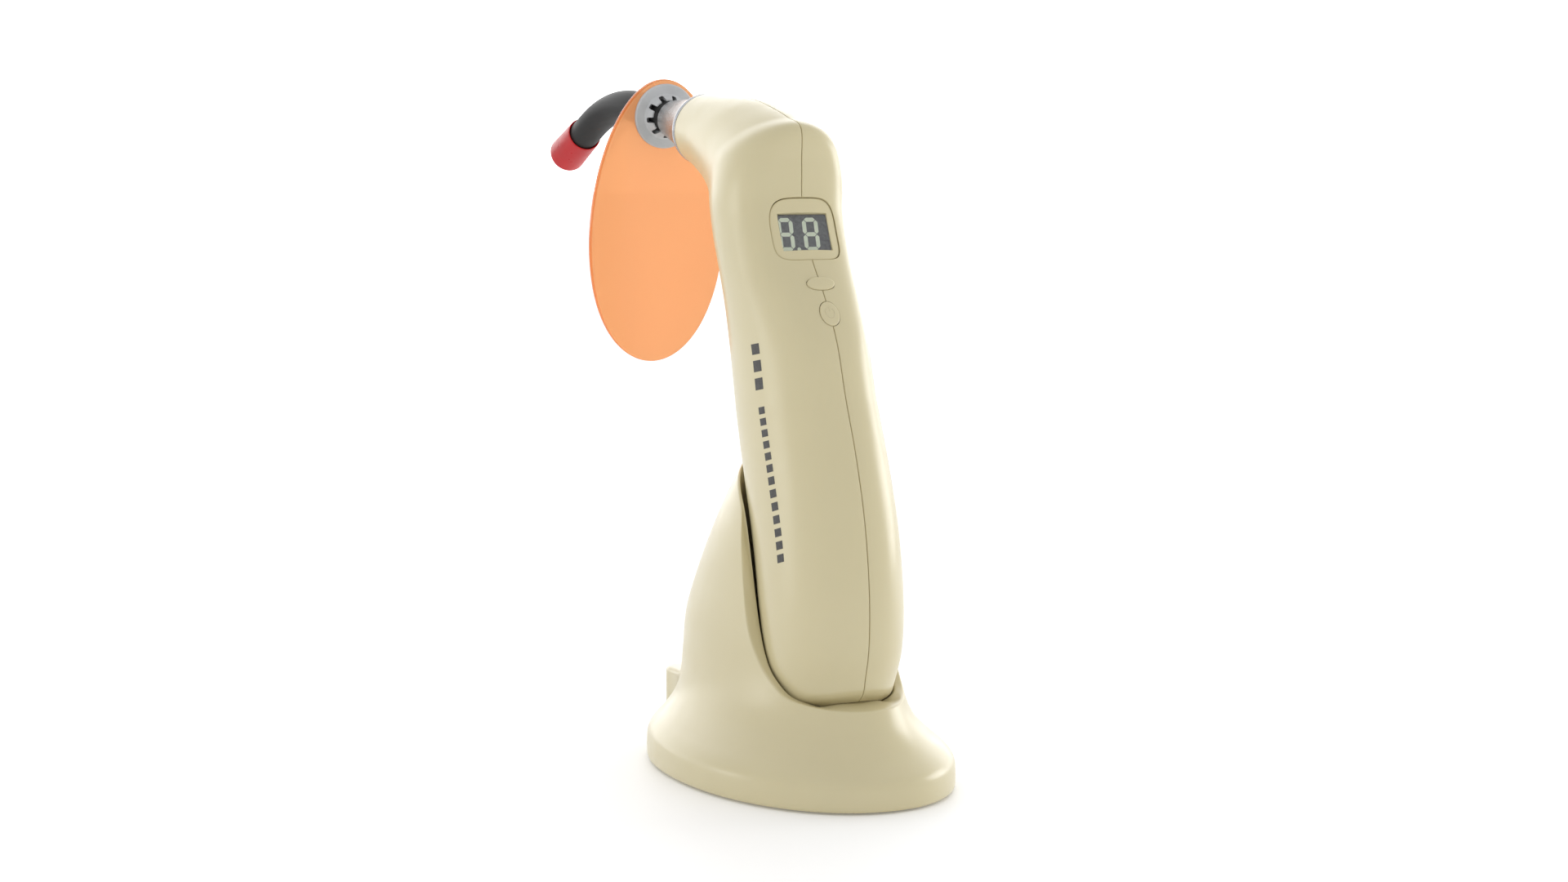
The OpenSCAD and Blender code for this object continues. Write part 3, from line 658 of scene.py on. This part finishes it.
def casing_half(name, mirror):
    """One casing half: outer and inner walls, the seam's edges slightly rounded."""
    rings, steps = 230, 64
    last = len(CASING) - 1
    turns = [SEAM_ROUND * (1 - math.cos(a)) for a in QUARTER]
    sinks = [SEAM_ROUND * (1 - math.sin(a)) for a in QUARTER]
    small = 1e-4

    def columns(s, inset):
        """(direction, extra depth) of the points across one half section."""
        back_r = abs(casing_point(s, small, inset).x) / small
        front_r = abs(casing_point(s, math.pi - small, inset).x) / small
        gap = SEAM_INSIDE if inset else SEAM_GAP
        head = [(math.asin((t + gap) / back_r), d) for t, d in zip(turns, sinks)]
        tail = [(math.pi - math.asin((t + gap) / front_r), d) for t, d in zip(turns, sinks)]
        start, stop = head[-1][0], tail[-1][0]
        middle = [(start + (stop - start) * j / steps, 0) for j in range(1, steps)]
        return head + middle + tail[::-1]

    def row(s, inset, sink):
        return [casing_point(s, th, inset + d * sink) for th, d in columns(s, inset)]

    outer = [row(i * last / (rings - 1), 0, 1) for i in range(rings)]
    inner_at = [i * (last - 1) / (rings - 1) for i in range(rings)]
    inner = [row(s, wall_at(s), 0) for s in inner_at]
    cols = len(outer[0])
    verts = [p for r in outer + inner for p in r]
    k = rings * cols    # first point of the inner wall
    faces = bridge(rings, cols, False) + bridge(rings, cols, False, k)
    for i in range(rings - 1):    # along the seam, front and back
        for j in (0, cols - 1):
            a, b = i * cols + j, (i + 1) * cols + j
            faces.append((a, b, k + b, k + a))
    faces += [(j, j + 1, k + j + 1, k + j) for j in range(cols - 1)]    # round the mouth
    for start in (k - cols, 2 * k - cols):    # the closed foot, outside and inside
        middle = (verts[start] + verts[start + cols - 1]) / 2
        verts.append(middle)
        faces += [(start + j, start + j + 1, len(verts) - 1) for j in range(cols - 1)]
    o, i = k - cols, 2 * k - cols
    faces.append((o, len(verts) - 2, len(verts) - 1, i))
    faces.append((len(verts) - 2, o + cols - 1, i + cols - 1, len(verts) - 1))
    if mirror:
        verts = [Vector((-v.x, v.y, v.z)) for v in verts]
    return mesh_piece(name, verts, faces)


def cut_casing(half, right):
    """Openings for the bezel, the keys, the charge pads and, on the right, the screws."""
    cut(half, bezel_outline(BEZEL_GAP), -5, 4, FACE)
    mode = oval(MODE_W / 2 + KEY_GAP, MODE_H / 2 + KEY_GAP, 96, MODE_POWER)
    power = oval(POWER_W / 2 + KEY_GAP, POWER_L / 2 + KEY_GAP, 96)
    cut(half, shifted(mode, 0, KEY_SPACING), -4, 4, KEYS)
    cut(half, shifted(power, 0, -KEY_SPACING), -4, 4, KEYS)
    cut(half, shifted(circle(PAD_HOLE_R), CONTACT_X if right else -CONTACT_X, 0), -1, 3.5, GRIP)
    if right:
        across = Matrix.Rotation(math.pi / 2, 4, "Y")
        shank_r, head_r, boss_r, head_at, foot = 1.6, 2.9, 4.0, 7, 1.0
        for parent, y, z, length in SCREWS:
            place = parent @ Matrix.Translation((0, y, z)) @ across
            cut(half, circle(head_r), 9, 24, place)
            tube = [(shank_r, foot), (boss_r, foot), (boss_r, length), (head_r, length),
                    (head_r, head_at), (shank_r, head_at)]
            boolean(half, lathe("boss", tube, place, 48, loop=True), "UNION")
    crisp(half)


def casing_height(half):
    """A function that gives the casing's height over a point of the display face."""
    tree = BVHTree.FromObject(half, bpy.context.evaluated_depsgraph_get())
    down = (FACE.to_3x3() @ Vector((0, 0, -1))).normalized()
    above, off_seam = 20, 0.8

    def height(x, y):
        start = FACE @ Vector((-max(abs(x), off_seam), y, above))
        hit = tree.ray_cast(start * MM, down, 1)[0]
        return (FACE.inverted() @ (hit / MM)).z

    return height


def make_bezel(height):
    """Arched frame that follows the casing, rounded outside, with a square-cornered window."""
    foot, edge_r, lip_r = -3.4, 0.4, 0.2
    outer = bezel_outline(0)

    def window(grow):
        half_x, half_y, middle = 8.1 + grow, 5.95 + grow, -0.1
        out = []
        for x, y in outer:
            scale = min(half_x / max(abs(x), 1e-9), half_y / max(abs(y), 1e-9))
            out.append((x * scale, y * scale + middle))
        return out

    def flush(outline, drop):
        return [(x, y, height(x, y) - BEZEL_SINK - drop) for x, y in outline]

    edge = [flush(bezel_outline(-edge_r * (1 - math.cos(a))), edge_r * (1 - math.sin(a))) for a in QUARTER]
    shoulder, brink = bezel_outline(-edge_r), window(lip_r)
    face = [flush([tuple(Vector(a).lerp(Vector(b), k)) for a, b in zip(shoulder, brink)], 0)
            for k in (0.2, 0.4, 0.6, 0.8)]
    lip = [flush(window(lip_r * (1 - math.sin(a))), lip_r * (1 - math.cos(a))) for a in QUARTER]
    rings = ([at_height(outer, foot)] + edge + face + lip
             + [at_height(window(-0.1), z) for z in (-2.5, foot)])
    bezel = ring_solid("display_bezel_frame", rings, FACE, loop=True)
    crisp(bezel, 50)
    dress(bezel, "handpiece", "bezel_plastic", "display_bezel")


def segment_outlines(width, height, stroke, gap):
    """The seven segments of a digit centred on the origin: hexagons with cut ends."""
    hw, hh, t = width / 2 - stroke / 2, height / 2 - stroke / 2, stroke / 2

    def bar(x0, y0, x1, y1):
        along = Vector((x1 - x0, y1 - y0)).normalized()
        side = Vector((-along.y, along.x)) * t
        a, b = Vector((x0, y0)) + along * gap, Vector((x1, y1)) - along * gap
        return [tuple(p) for p in (a, a + along * t - side, b - along * t - side, b,
                                   b - along * t + side, a + along * t + side)]

    rows = [bar(-hw, y, hw, y) for y in (-hh, 0, hh)]
    posts = [bar(x, y, x, y + hh) for x in (-hw, hw) for y in (-hh, 0)]
    return rows + posts


def make_digits():
    """Two seven-segment digits and the point between them, just above the display's face."""
    verts, faces = [], []
    slant = math.tan(math.radians(3))
    levels = LCD_TOP - 0.02, LCD_TOP + 0.03

    def add(outline):
        first = len(verts)
        n = len(outline)
        for z in levels:
            verts.extend(FACE @ Vector((x + slant * y, y, z)) for x, y in outline)
        faces.append([first + n + j for j in range(n)])
        faces.append([first + j for j in reversed(range(n))])
        faces.extend(bridge(2, n, True, first))

    width, tall, stroke, gap, middle = 5.2, 10.6, 1.3, 0.13, -0.55
    for centre in (-6.0, 2.3):
        for outline in segment_outlines(width, tall, stroke, gap):
            add(shifted(outline, centre, middle))
    point_r, point_at = 0.62, (-2.2, -5.25)
    add(shifted(circle(point_r, 24), *point_at))
    digits = mesh_piece("display_digits", verts, faces, smooth=False)
    dress(digits, "handpiece", "lcd_glass", ink=digit_ink())


def make_display():
    """The dark panel, the clear pane over it and the digits between them."""
    panel = outline_prism("display_panel", oval(*LCD_HALF, 72, 0.16), LCD_TOP - LCD_T, LCD_TOP, FACE)
    bevel(panel, 0.15)
    dress(panel, "handpiece", "lcd_glass", "lcd_panel")
    outline = shifted(oval(*PANE_HALF, 72, 0.1), 0, PANE_SHIFT)
    low, high = PANE_SPAN
    pane = outline_prism("display_pane", outline, LCD_TOP + low, LCD_TOP + high, FACE)
    dress(pane, "handpiece", "window_clear", "display_window")
    make_digits()


def pillow(name, outline, shift_y, dome, place):
    """A push button: a flange inside, straight sides, a rounded edge and a slightly domed top."""
    flange, flange_z, step_z, rim_z, rim_r = 1.22, -3.9, -3.2, 0.02, 0.32
    small = min(max(x for x, _ in outline), max(y for _, y in outline))
    levels = [(flange, flange_z), (flange, step_z), (1.0, step_z), (1.0, rim_z)]
    for a in (0.35, 0.7, 1.05, 1.4):
        levels.append((1 - rim_r / small * (1 - math.cos(a)), rim_z + rim_r * math.sin(a)))
    size, z = levels[-1]
    for k in (0.85, 0.65, 0.45, 0.25, 0.08):
        levels.append((size * k, z + dome * (1 - k * k)))
    rings = [[(x * f, y * f + shift_y, z) for x, y in outline] for f, z in levels]
    return ring_solid(name, rings, place)


def power_mark():
    """Power symbol in low relief: an open ring and a bar."""
    verts, faces = [], []
    centre_y, z = -KEY_SPACING + 0.1, 0.34
    half, height, depth = 0.16, 0.17, -0.2
    section = ((-half, depth), (-half * 0.6, height), (half * 0.6, height), (half, depth))

    def stroke(points):
        """A low bar along a line of points."""
        first = len(verts)
        for i, p in enumerate(points):
            ahead = Vector(points[min(i + 1, len(points) - 1)]) - Vector(points[max(i - 1, 0)])
            side = Vector((-ahead.y, ahead.x)).normalized()
            for across, up in section:
                q = Vector(p) + side * across
                verts.append(KEYS @ Vector((q.x, q.y + centre_y, z + up)))
        faces.extend(bridge(len(points), 4, True, first))
        for i in (0, len(points) - 1):
            faces.append([first + 4 * i + j for j in range(4)])

    turn = [math.radians(130 + 10 * i) for i in range(29)]
    stroke([(1.45 * math.cos(a), 1.75 * math.sin(a)) for a in turn])
    stroke([(0, 0.45 + 0.42 * i) for i in range(5)])
    return mesh_piece("power_key_mark", verts, faces)


def make_keys():
    """The two push buttons; the lower one bears the power symbol."""
    mode = pillow("mode_key", oval(MODE_W / 2, MODE_H / 2, 96, MODE_POWER), KEY_SPACING, 0.18, KEYS)
    dress(mode, "mode_key", "key_plastic", "mode_button")
    power = pillow("power_key", oval(POWER_W / 2, POWER_L / 2, 96), -KEY_SPACING, 0.15, KEYS)
    dress(power, "power_key", "key_plastic", "power_button")
    dress(power_mark(), "power_key", "key_plastic")


def surface_strip(s0, s1, half, lift):
    """Grid of points over a thin mark on the casing's left side."""
    across, along = 3, max(int((s1 - s0) * 24), 3)
    stations = [s0 + (s1 - s0) * i / along for i in range(along + 1)]
    return [[casing_point(s, MARK_AT + half * (2 * j / across - 1), -lift) for j in range(across + 1)]
            for s in stations]


def make_marks():
    """Plain dashes down the left side, a bolder group above a finer one, in place of printing."""
    verts, faces = [], []
    for start, length, pitch, count, half in MARK_RUNS:
        for i in range(count):
            s0 = start + pitch * i
            top = surface_strip(s0, s0 + length, half, MARK_RISE)
            low = surface_strip(s0, s0 + length, half, -MARK_SINK)
            rows, cols = len(top), len(top[0])
            first, under = len(verts), rows * cols
            verts.extend(p for grid in (top, low) for r in grid for p in r)
            faces.extend(bridge(rows, cols, False, first))
            faces.extend(bridge(rows, cols, False, first + under))
            rim = (list(range(cols)) + [r * cols + cols - 1 for r in range(1, rows)]
                   + [(rows - 1) * cols + j for j in reversed(range(cols - 1))]
                   + [r * cols for r in reversed(range(1, rows - 1))])
            for a, b in zip(rim, rim[1:] + rim[:1]):
                faces.append((first + a, first + b, first + under + b, first + under + a))
    marks = mesh_piece("side_marks", verts, faces)
    crisp(marks, 50)
    dress(marks, "handpiece", "casing_plastic", ink=print_ink())


# ---- light guide and shield ----

def guide_tube(name, radius, bore, start, steps=64):
    """The bent jacket or core, its rims slightly rounded."""
    stations = [NOZZLE @ Matrix.Translation((0, 0, start + (GUIDE_STRAIGHT - start) * i / 8))
                for i in range(8)]
    stations += [bend_frame(BEND_ANGLE * i / 36) for i in range(37)]
    stations += [TIP @ Matrix.Translation((0, 0, TIP_L * i / 4)) for i in range(1, 5)]

    def ring(frame_at, r, ahead=0):
        return [frame_at @ Vector(v) for v in at_height(circle(r, steps), ahead)]

    edge, soft = 0.3, 0.08
    first, last = stations[0], stations[-1]
    rings = [ring(first, radius - edge), ring(first, radius - soft, soft), ring(first, radius, edge)]
    rings += [ring(f, radius) for f in stations[1:-1]]
    rings += [ring(last, radius, -edge), ring(last, radius - soft, -soft), ring(last, radius - edge)]
    if bore:
        rings += [ring(f, bore) for f in reversed(stations)]
    return ring_solid(name, rings, loop=bool(bore))


def make_guide():
    """The dark jacket round the glass core, the polished cone and the red cap."""
    core_start, jacket_start, cone_end = -15.5, 16, 26.5
    core_bore, jacket_bore = CORE_R + 0.05, SHEATH_R + 0.03
    tube = guide_tube("guide_jacket", SHEATH_R, core_bore, jacket_start)
    crisp(tube, 60)
    dress(tube, "guide", "sheath_dark", "guide_sheath")
    core = guide_tube("guide_core", CORE_R, 0, core_start)
    crisp(core, 60)
    dress(core, "guide", "core_glass", "fibre_core")

    cone = rounded([(core_bore, core_start), (5.5, core_start), (SPIGOT_R, -15), (SPIGOT_R, 1.3),
                    (9.6, 1.3), (10, 1.7), (10, 2.6), (9.6, 3.1), (6.3, 25.6), (5.8, cone_end),
                    (jacket_bore, cone_end), (jacket_bore, jacket_start), (core_bore, jacket_start)], 0.25)
    ferrule = lathe("guide_cone", cone, NOZZLE, 128, loop=True)
    crisp(ferrule, 40)
    dress(ferrule, "guide", "ferrule_metal", "guide_ferrule")

    bore, ceiling = SHEATH_R + 0.06, TIP_L + 0.5
    cap = rounded([(0, ceiling), (bore, ceiling), (bore, CAP_AT + 0.8), (bore + 0.3, CAP_AT),
                   (5.9, CAP_AT), (6.0, CAP_AT + 0.5), (6.5, CAP_END - 3.5), (6.55, CAP_END - 2),
                   (5.4, CAP_END - 0.4), (3.4, CAP_END), (0, CAP_END)], 0.7, 6)
    cover = lathe("guide_cap", cap, TIP)
    crisp(cover, 50)
    dress(cover, "cap", "cap_red", "tip_cap")


def make_nozzle_ring():
    """Chrome ring at the nozzle's mouth, with a groove round it."""
    bore, step, groove = 6.3, RING_R - 0.9, RING_R - 0.5
    trim = rounded([(bore, -1.3), (step, -1.3), (step, -0.95), (RING_R - 0.05, -0.9),
                    (RING_R - 0.02, -0.45), (groove, -0.35), (groove, -0.1), (RING_R - 0.02, 0),
                    (RING_R, 0.6), (RING_R - 0.5, 1.1), (bore, 1.1)], 0.1)
    ring = lathe("nozzle_trim", trim, NOZZLE, 160, loop=True)
    crisp(ring, 60)
    dress(ring, "handpiece", "ring_chrome", "nozzle_ring")


def shield_outline(grow, steps=180):
    """Outline of the shield: an oval, widest a little further from the hub than its middle."""
    middle, lag = 35.5, 4
    turns = [TURN * j / steps for j in range(steps)]
    return [((SHIELD_HALF_W + grow) * math.sin(a),
             middle + lag * math.sin(a) ** 2 + (SHIELD_HALF_L + grow) * math.cos(a)) for a in turns]


def make_shield():
    """The orange plate, its rim rounded, on the slotted hub."""
    r, back = 0.8, PLATE_AT + SHIELD_T
    quarter = [math.radians(a) for a in (0, 22, 45, 68, 90)]
    inward = [(shield_outline(r * (math.cos(a) - 1)), r * (1 - math.sin(a))) for a in quarter]
    rings = [at_height(outline, PLATE_AT + rise) for outline, rise in reversed(inward)]
    rings += [at_height(outline, back - rise) for outline, rise in inward]
    steps, hole_r = len(rings[0]), HUB_R + 0.03
    hole = [(hole_r * math.sin(TURN * j / steps), hole_r * math.cos(TURN * j / steps)) for j in range(steps)]
    rings += [at_height(hole, back), at_height(hole, PLATE_AT)]
    plate = ring_solid("shield_pane", rings, NOZZLE, loop=True)
    crisp(plate, 50)
    dress(plate, "shield", "shield_orange", "shield_plate")

    bore, front, flange_r = SHEATH_R + 0.1, SHIELD_AT - 2.4, 10.7
    profile = rounded([(bore, front), (SHEATH_R + 0.6, front), (6.9, SHIELD_AT - 0.6), (7.6, SHIELD_AT),
                       (flange_r - 0.4, SHIELD_AT), (flange_r, SHIELD_AT + 0.35),
                       (flange_r, PLATE_AT - 0.02), (HUB_R, PLATE_AT), (HUB_R, back), (9.6, back + 0.02),
                       (9.6, back + 1.0), (9.2, back + 1.4), (bore, back + 1.4)], 0.2)
    hub = lathe("shield_boss", profile, NOZZLE, 160, loop=True)
    slot = shifted(oval(1.6, 0.92, 40, 0.4), 5.45, 0)
    for i in range(HUB_SLOTS):
        turn = NOZZLE @ Matrix.Rotation(TURN * (i / HUB_SLOTS + 0.25), 4, "Z")
        cut(hub, slot, SHIELD_AT - 3, SHIELD_AT + 2, turn)
    crisp(hub, 40)
    dress(hub, "shield", "hub_grey", "shield_hub")


# ---- charging base ----

RIM_STEPS = 600
RIM_CURVE = [smooth_row(RIM, (len(RIM) - 1) * i / RIM_STEPS) for i in range(RIM_STEPS + 1)]
RIM_Y = [y for y, _ in RIM_CURVE]


def rim_height(y):
    """Height of the cowl's rim in the side view."""
    i = min(max(bisect_left(RIM_Y, y) - 1, 0), RIM_STEPS - 1)
    (y0, z0), (y1, z1) = RIM_CURVE[i], RIM_CURVE[i + 1]
    return z0 + (z1 - z0) * (y - y0) / (y1 - y0)


def cowl_point(s, a):
    """Point of the cover's outside on row s of COWL, in direction a."""
    z, side, ahead, behind, taper = smooth_row(COWL, s)
    front, back = HALF_L - ahead, behind - HALF_L
    sin_a, cos_a = signed_power(math.sin(a), FOOT_POWER), signed_power(math.cos(a), FOOT_POWER)
    x = -(HALF_W - side) * sin_a * (1 - taper * (1 - cos_a) / 2)
    return Vector((x, (front + back) / 2 + (front - back) / 2 * cos_a, z))


def cradle_size(w):
    """Middle, half length and half width of the cradle at height w up the grip."""
    s = root(lambda k: smooth_row(CRADLE, k)[0] - w, 0, len(CRADLE) - 1, 26)
    _, back, front, half_w = smooth_row(CRADLE, s)
    return (back + front) / 2, (front - back) / 2 + CRADLE_GAP, half_w + CRADLE_GAP


def cradle_point(w, a, share=1.0):
    """Point of the cradle wall in direction a, or inside it on the same level."""
    middle, half, half_w = cradle_size(w)
    r = share * section_r(half, half, half_w, CRADLE_SQUARE, a + math.pi)
    return GRIP @ Vector((-r * math.sin(a), middle + r * math.cos(a), w - CRADLE_DROP))


def cradle_angle(point):
    """Direction of a point from the cradle's middle, its height w, and how far it lies outside."""
    q = GRIP_INVERSE @ point
    w = max(q.z + CRADLE_DROP, 0)
    middle, half, half_w = cradle_size(w)
    a = math.atan2(-q.x, q.y - middle)
    wall = section_r(half, half, half_w, CRADLE_SQUARE, a + math.pi)
    return a, w, math.hypot(q.x, q.y - middle) - wall


def cover_column(a):
    """One column of the cover: from its inner roof, under the foot's edge, up over the rim and
    down to the cradle's floor."""
    def above(s):
        p = cowl_point(s, a)
        return max(p.z - rim_height(p.y), LIP_T - cradle_angle(p)[2])

    top = root(above, FOOT_TOP, len(COWL) - 1)
    edge = cowl_point(top, a)
    turn, w_edge, _ = cradle_angle(edge)

    def inner_above(w, share=1.0):
        p = cradle_point(w, turn, share)
        return p.z - rim_height(p.y)

    share = 1.0
    if inner_above(0) >= 0:    # the rim cuts across the cradle's floor
        w_in = 0.0
        share = root(lambda k: inner_above(0, k), 0.3, 1)
    else:
        w_in = min(root(inner_above, 0, CRADLE[-1][0]), w_edge)
    inner = cradle_point(w_in, turn, share)

    t = COVER_T
    room = [(12.5, 8.5 + t, 10 + t), (8.4, 0.3 + t, 0.5 + t), (0.7, t, t)]
    column = [Vector((-(HALF_W - side) * math.sin(a), (HALF_L - end) * math.cos(a), z))
              for z, side, end in room]
    column += [cowl_point(s, a) for s in FOOT_ROWS]
    near = top - EDGE_ROUND / ROW_RISE
    upper = 44
    column += [cowl_point(FOOT_TOP + (near - FOOT_TOP) * i / upper, a) for i in range(1, upper + 1)]

    band = (inner - edge).length
    lip = edge.lerp(inner, min(EDGE_ROUND, band * 0.3) / band)
    start = column[-1]
    column += [bend(start, edge, lip, k) for k in (0.25, 0.5, 0.75)]
    column.append(lip)
    far = edge.lerp(inner, 1 - min(0.4, band * 0.3) / band)
    column += [lip.lerp(far, i / 4) for i in range(1, 5)]

    deep = max(w_in - 0.4, w_in * 0.9)
    column.append(far.lerp(inner, 0.6).lerp(cradle_point(deep, turn, share), 0.25))
    walls = 26
    for i in range(walls):
        w = deep * (1 - i / (walls - 1)) ** 1.2
        k = share * (1 - 0.004 * i) if share < 1 else 1.0
        column.append(cradle_point(w, turn, k))
    last = column[-1]
    middle = GRIP @ Vector((0, 0, -CRADLE_DROP))
    column += [last.lerp(middle, k) for k in (0.03, 0.3, 0.6)]
    return column


def jack_housing():
    """The block behind the cowl that holds the inlet: rounded plan and top edge."""
    half_w, corner_r, y0, y1 = 21, 8, 37.5, 59.5
    top, edge_r, steps = 24.5, 1.6, 16

    def plan(grow):
        r = corner_r + grow
        points = [(-(half_w + grow), y0)]
        for side, a0 in ((-1, math.pi), (1, math.pi / 2)):
            for i in range(steps + 1):
                a = a0 - math.pi / 2 * i / steps
                points.append((side * (half_w - corner_r) + r * math.cos(a),
                               y1 - corner_r + r * math.sin(a)))
        points.append((half_w + grow, y0))
        return points

    rings = [at_height(plan(0), 6.0)]
    for a in (0, 0.3, 0.6, 0.9, 1.2, math.pi / 2):
        rings.append(at_height(plan(-edge_r * (1 - math.cos(a))), top - edge_r * (1 - math.sin(a))))
    return ring_solid("block", rings)


def make_base():
    """The cover and its inlet block, cut for the inlet, its pocket, the pins and their board."""
    columns = [cover_column(TURN * (j + 0.5) / COVER_COLUMNS) for j in range(COVER_COLUMNS)]
    cover = ring_solid("base_housing", list(zip(*columns)))
    boolean(cover, jack_housing(), "UNION")
    cut(cover, circle(JACK_HOLE_R, 72), 0, 20, JACK)
    cut(cover, box_outline(*JACK_ROOM), 11.2, 21.3, Matrix.Identity(4))
    for side in (-1, 1):
        cut(cover, shifted(circle(PIN_HOLE_R, 40), side * CONTACT_X, 0), -13, 1, GRIP)
    cut(cover, box_outline(*PIN_BOARD), -24, -11.8, GRIP)
    crisp(cover, 38)
    dress(cover, "base", "base_plastic", "base_cover")


# ---- stage ----

def look_along(obj, direction):
    """Turns a light or the camera to face a direction."""
    obj.rotation_euler = direction.to_track_quat("-Z", "Y").to_euler()


def area_light(name, place, target, width, height, power):
    """A soft rectangular light, in metres and watts."""
    data = bpy.data.lights.new(name, "AREA")
    data.shape = "RECTANGLE"
    data.size, data.size_y = width, height
    data.energy = power
    light = bpy.data.objects.new(name, data)
    bpy.context.scene.collection.objects.link(light)
    light.location = place
    look_along(light, Vector(target) - light.location)


def make_world(scene):
    """Soft light from one side; what is seen directly is white on every side."""
    world = bpy.data.worlds.new("studio")
    scene.world = world
    world.use_nodes = True
    nodes, links = world.node_tree.nodes, world.node_tree.links
    direction = nodes.new("ShaderNodeTexCoord").outputs["Generated"]
    toward = nodes.new("ShaderNodeVectorMath")
    toward.operation = "DOT_PRODUCT"
    toward.inputs[1].default_value = BRIGHT_SIDE
    links.new(direction, toward.inputs[0])
    spread = nodes.new("ShaderNodeMapRange")
    spread.interpolation_type = "SMOOTHSTEP"
    for socket, value in WORLD_RANGE.items():
        spread.inputs[socket].default_value = value
    links.new(toward.outputs["Value"], spread.inputs["Value"])
    seen = nodes.new("ShaderNodeMath")
    seen.operation = "MAXIMUM"
    links.new(spread.outputs["Result"], seen.inputs[0])
    links.new(nodes.new("ShaderNodeLightPath").outputs["Is Camera Ray"], seen.inputs[1])
    background = nodes["Background"]
    background.inputs["Color"].default_value = (1, 1, 1, 1)
    links.new(seen.outputs["Value"], background.inputs["Strength"])


def make_stage():
    """World, floor and the two lights."""
    scene = bpy.context.scene
    scene.view_settings.view_transform = "Standard"
    make_world(scene)
    outline = box_outline(-FLOOR_HALF, FLOOR_HALF, -FLOOR_HALF, FLOOR_HALF)
    floor = mesh_piece("floor", at_height(outline, 0), [(0, 1, 2, 3)], smooth=False)
    s = Surface("pale_floor", (0.93, 0.93, 0.93), 0.6, Emission_Color=(1, 1, 1, 1), Emission_Strength=0.12)
    s.color_from(s.noise(3, 2), [(0.3, 0.925), (0.7, 0.935)])
    floor.data.materials.append(s.material)

    middle = (0, 0.02, 0.11)
    area_light("right_light", (0.75, 0.0, 0.2), middle, 0.4, 0.3, 1.2)
    area_light("left_light", (-0.8, 0.42, 0.1), middle, 0.3, 0.3, 0.5)


def make_camera():
    """In front of the light and to its left, at the height of its head."""
    data = bpy.data.cameras.new("camera")
    data.lens, data.sensor_width = CAMERA_LENS, SENSOR_W
    data.clip_start, data.clip_end = 0.01, 50
    camera = bpy.data.objects.new("camera", data)
    bpy.context.scene.collection.objects.link(camera)
    camera.location = CAMERA_AT
    level = math.cos(CAMERA_PITCH)
    look_along(camera, Vector((math.sin(CAMERA_HEADING) * level, math.cos(CAMERA_HEADING) * level,
                               -math.sin(CAMERA_PITCH))))
    bpy.context.scene.camera = camera


# ---- the whole ----

def dress_cad_nodes():
    """Every CAD node gets the material of its slot; replaced ones are hidden anyway."""
    for part in frame["record"]["subparts"]:
        mesh = frame["nodes"][part["node"]].data
        mesh.materials.clear()
        mesh.materials.append(MATERIALS[part["material_slot"]])


make_camera()
make_stage()
dress_cad_nodes()
for side, mirror in (("right", True), ("left", False)):
    half = casing_half(side + "_casing", mirror)
    if not mirror:
        make_bezel(casing_height(half))
    cut_casing(half, mirror)
    dress(half, "handpiece", "casing_plastic", side + "_shell")
make_display()
make_keys()
make_marks()
make_nozzle_ring()
make_guide()
make_shield()
make_base()
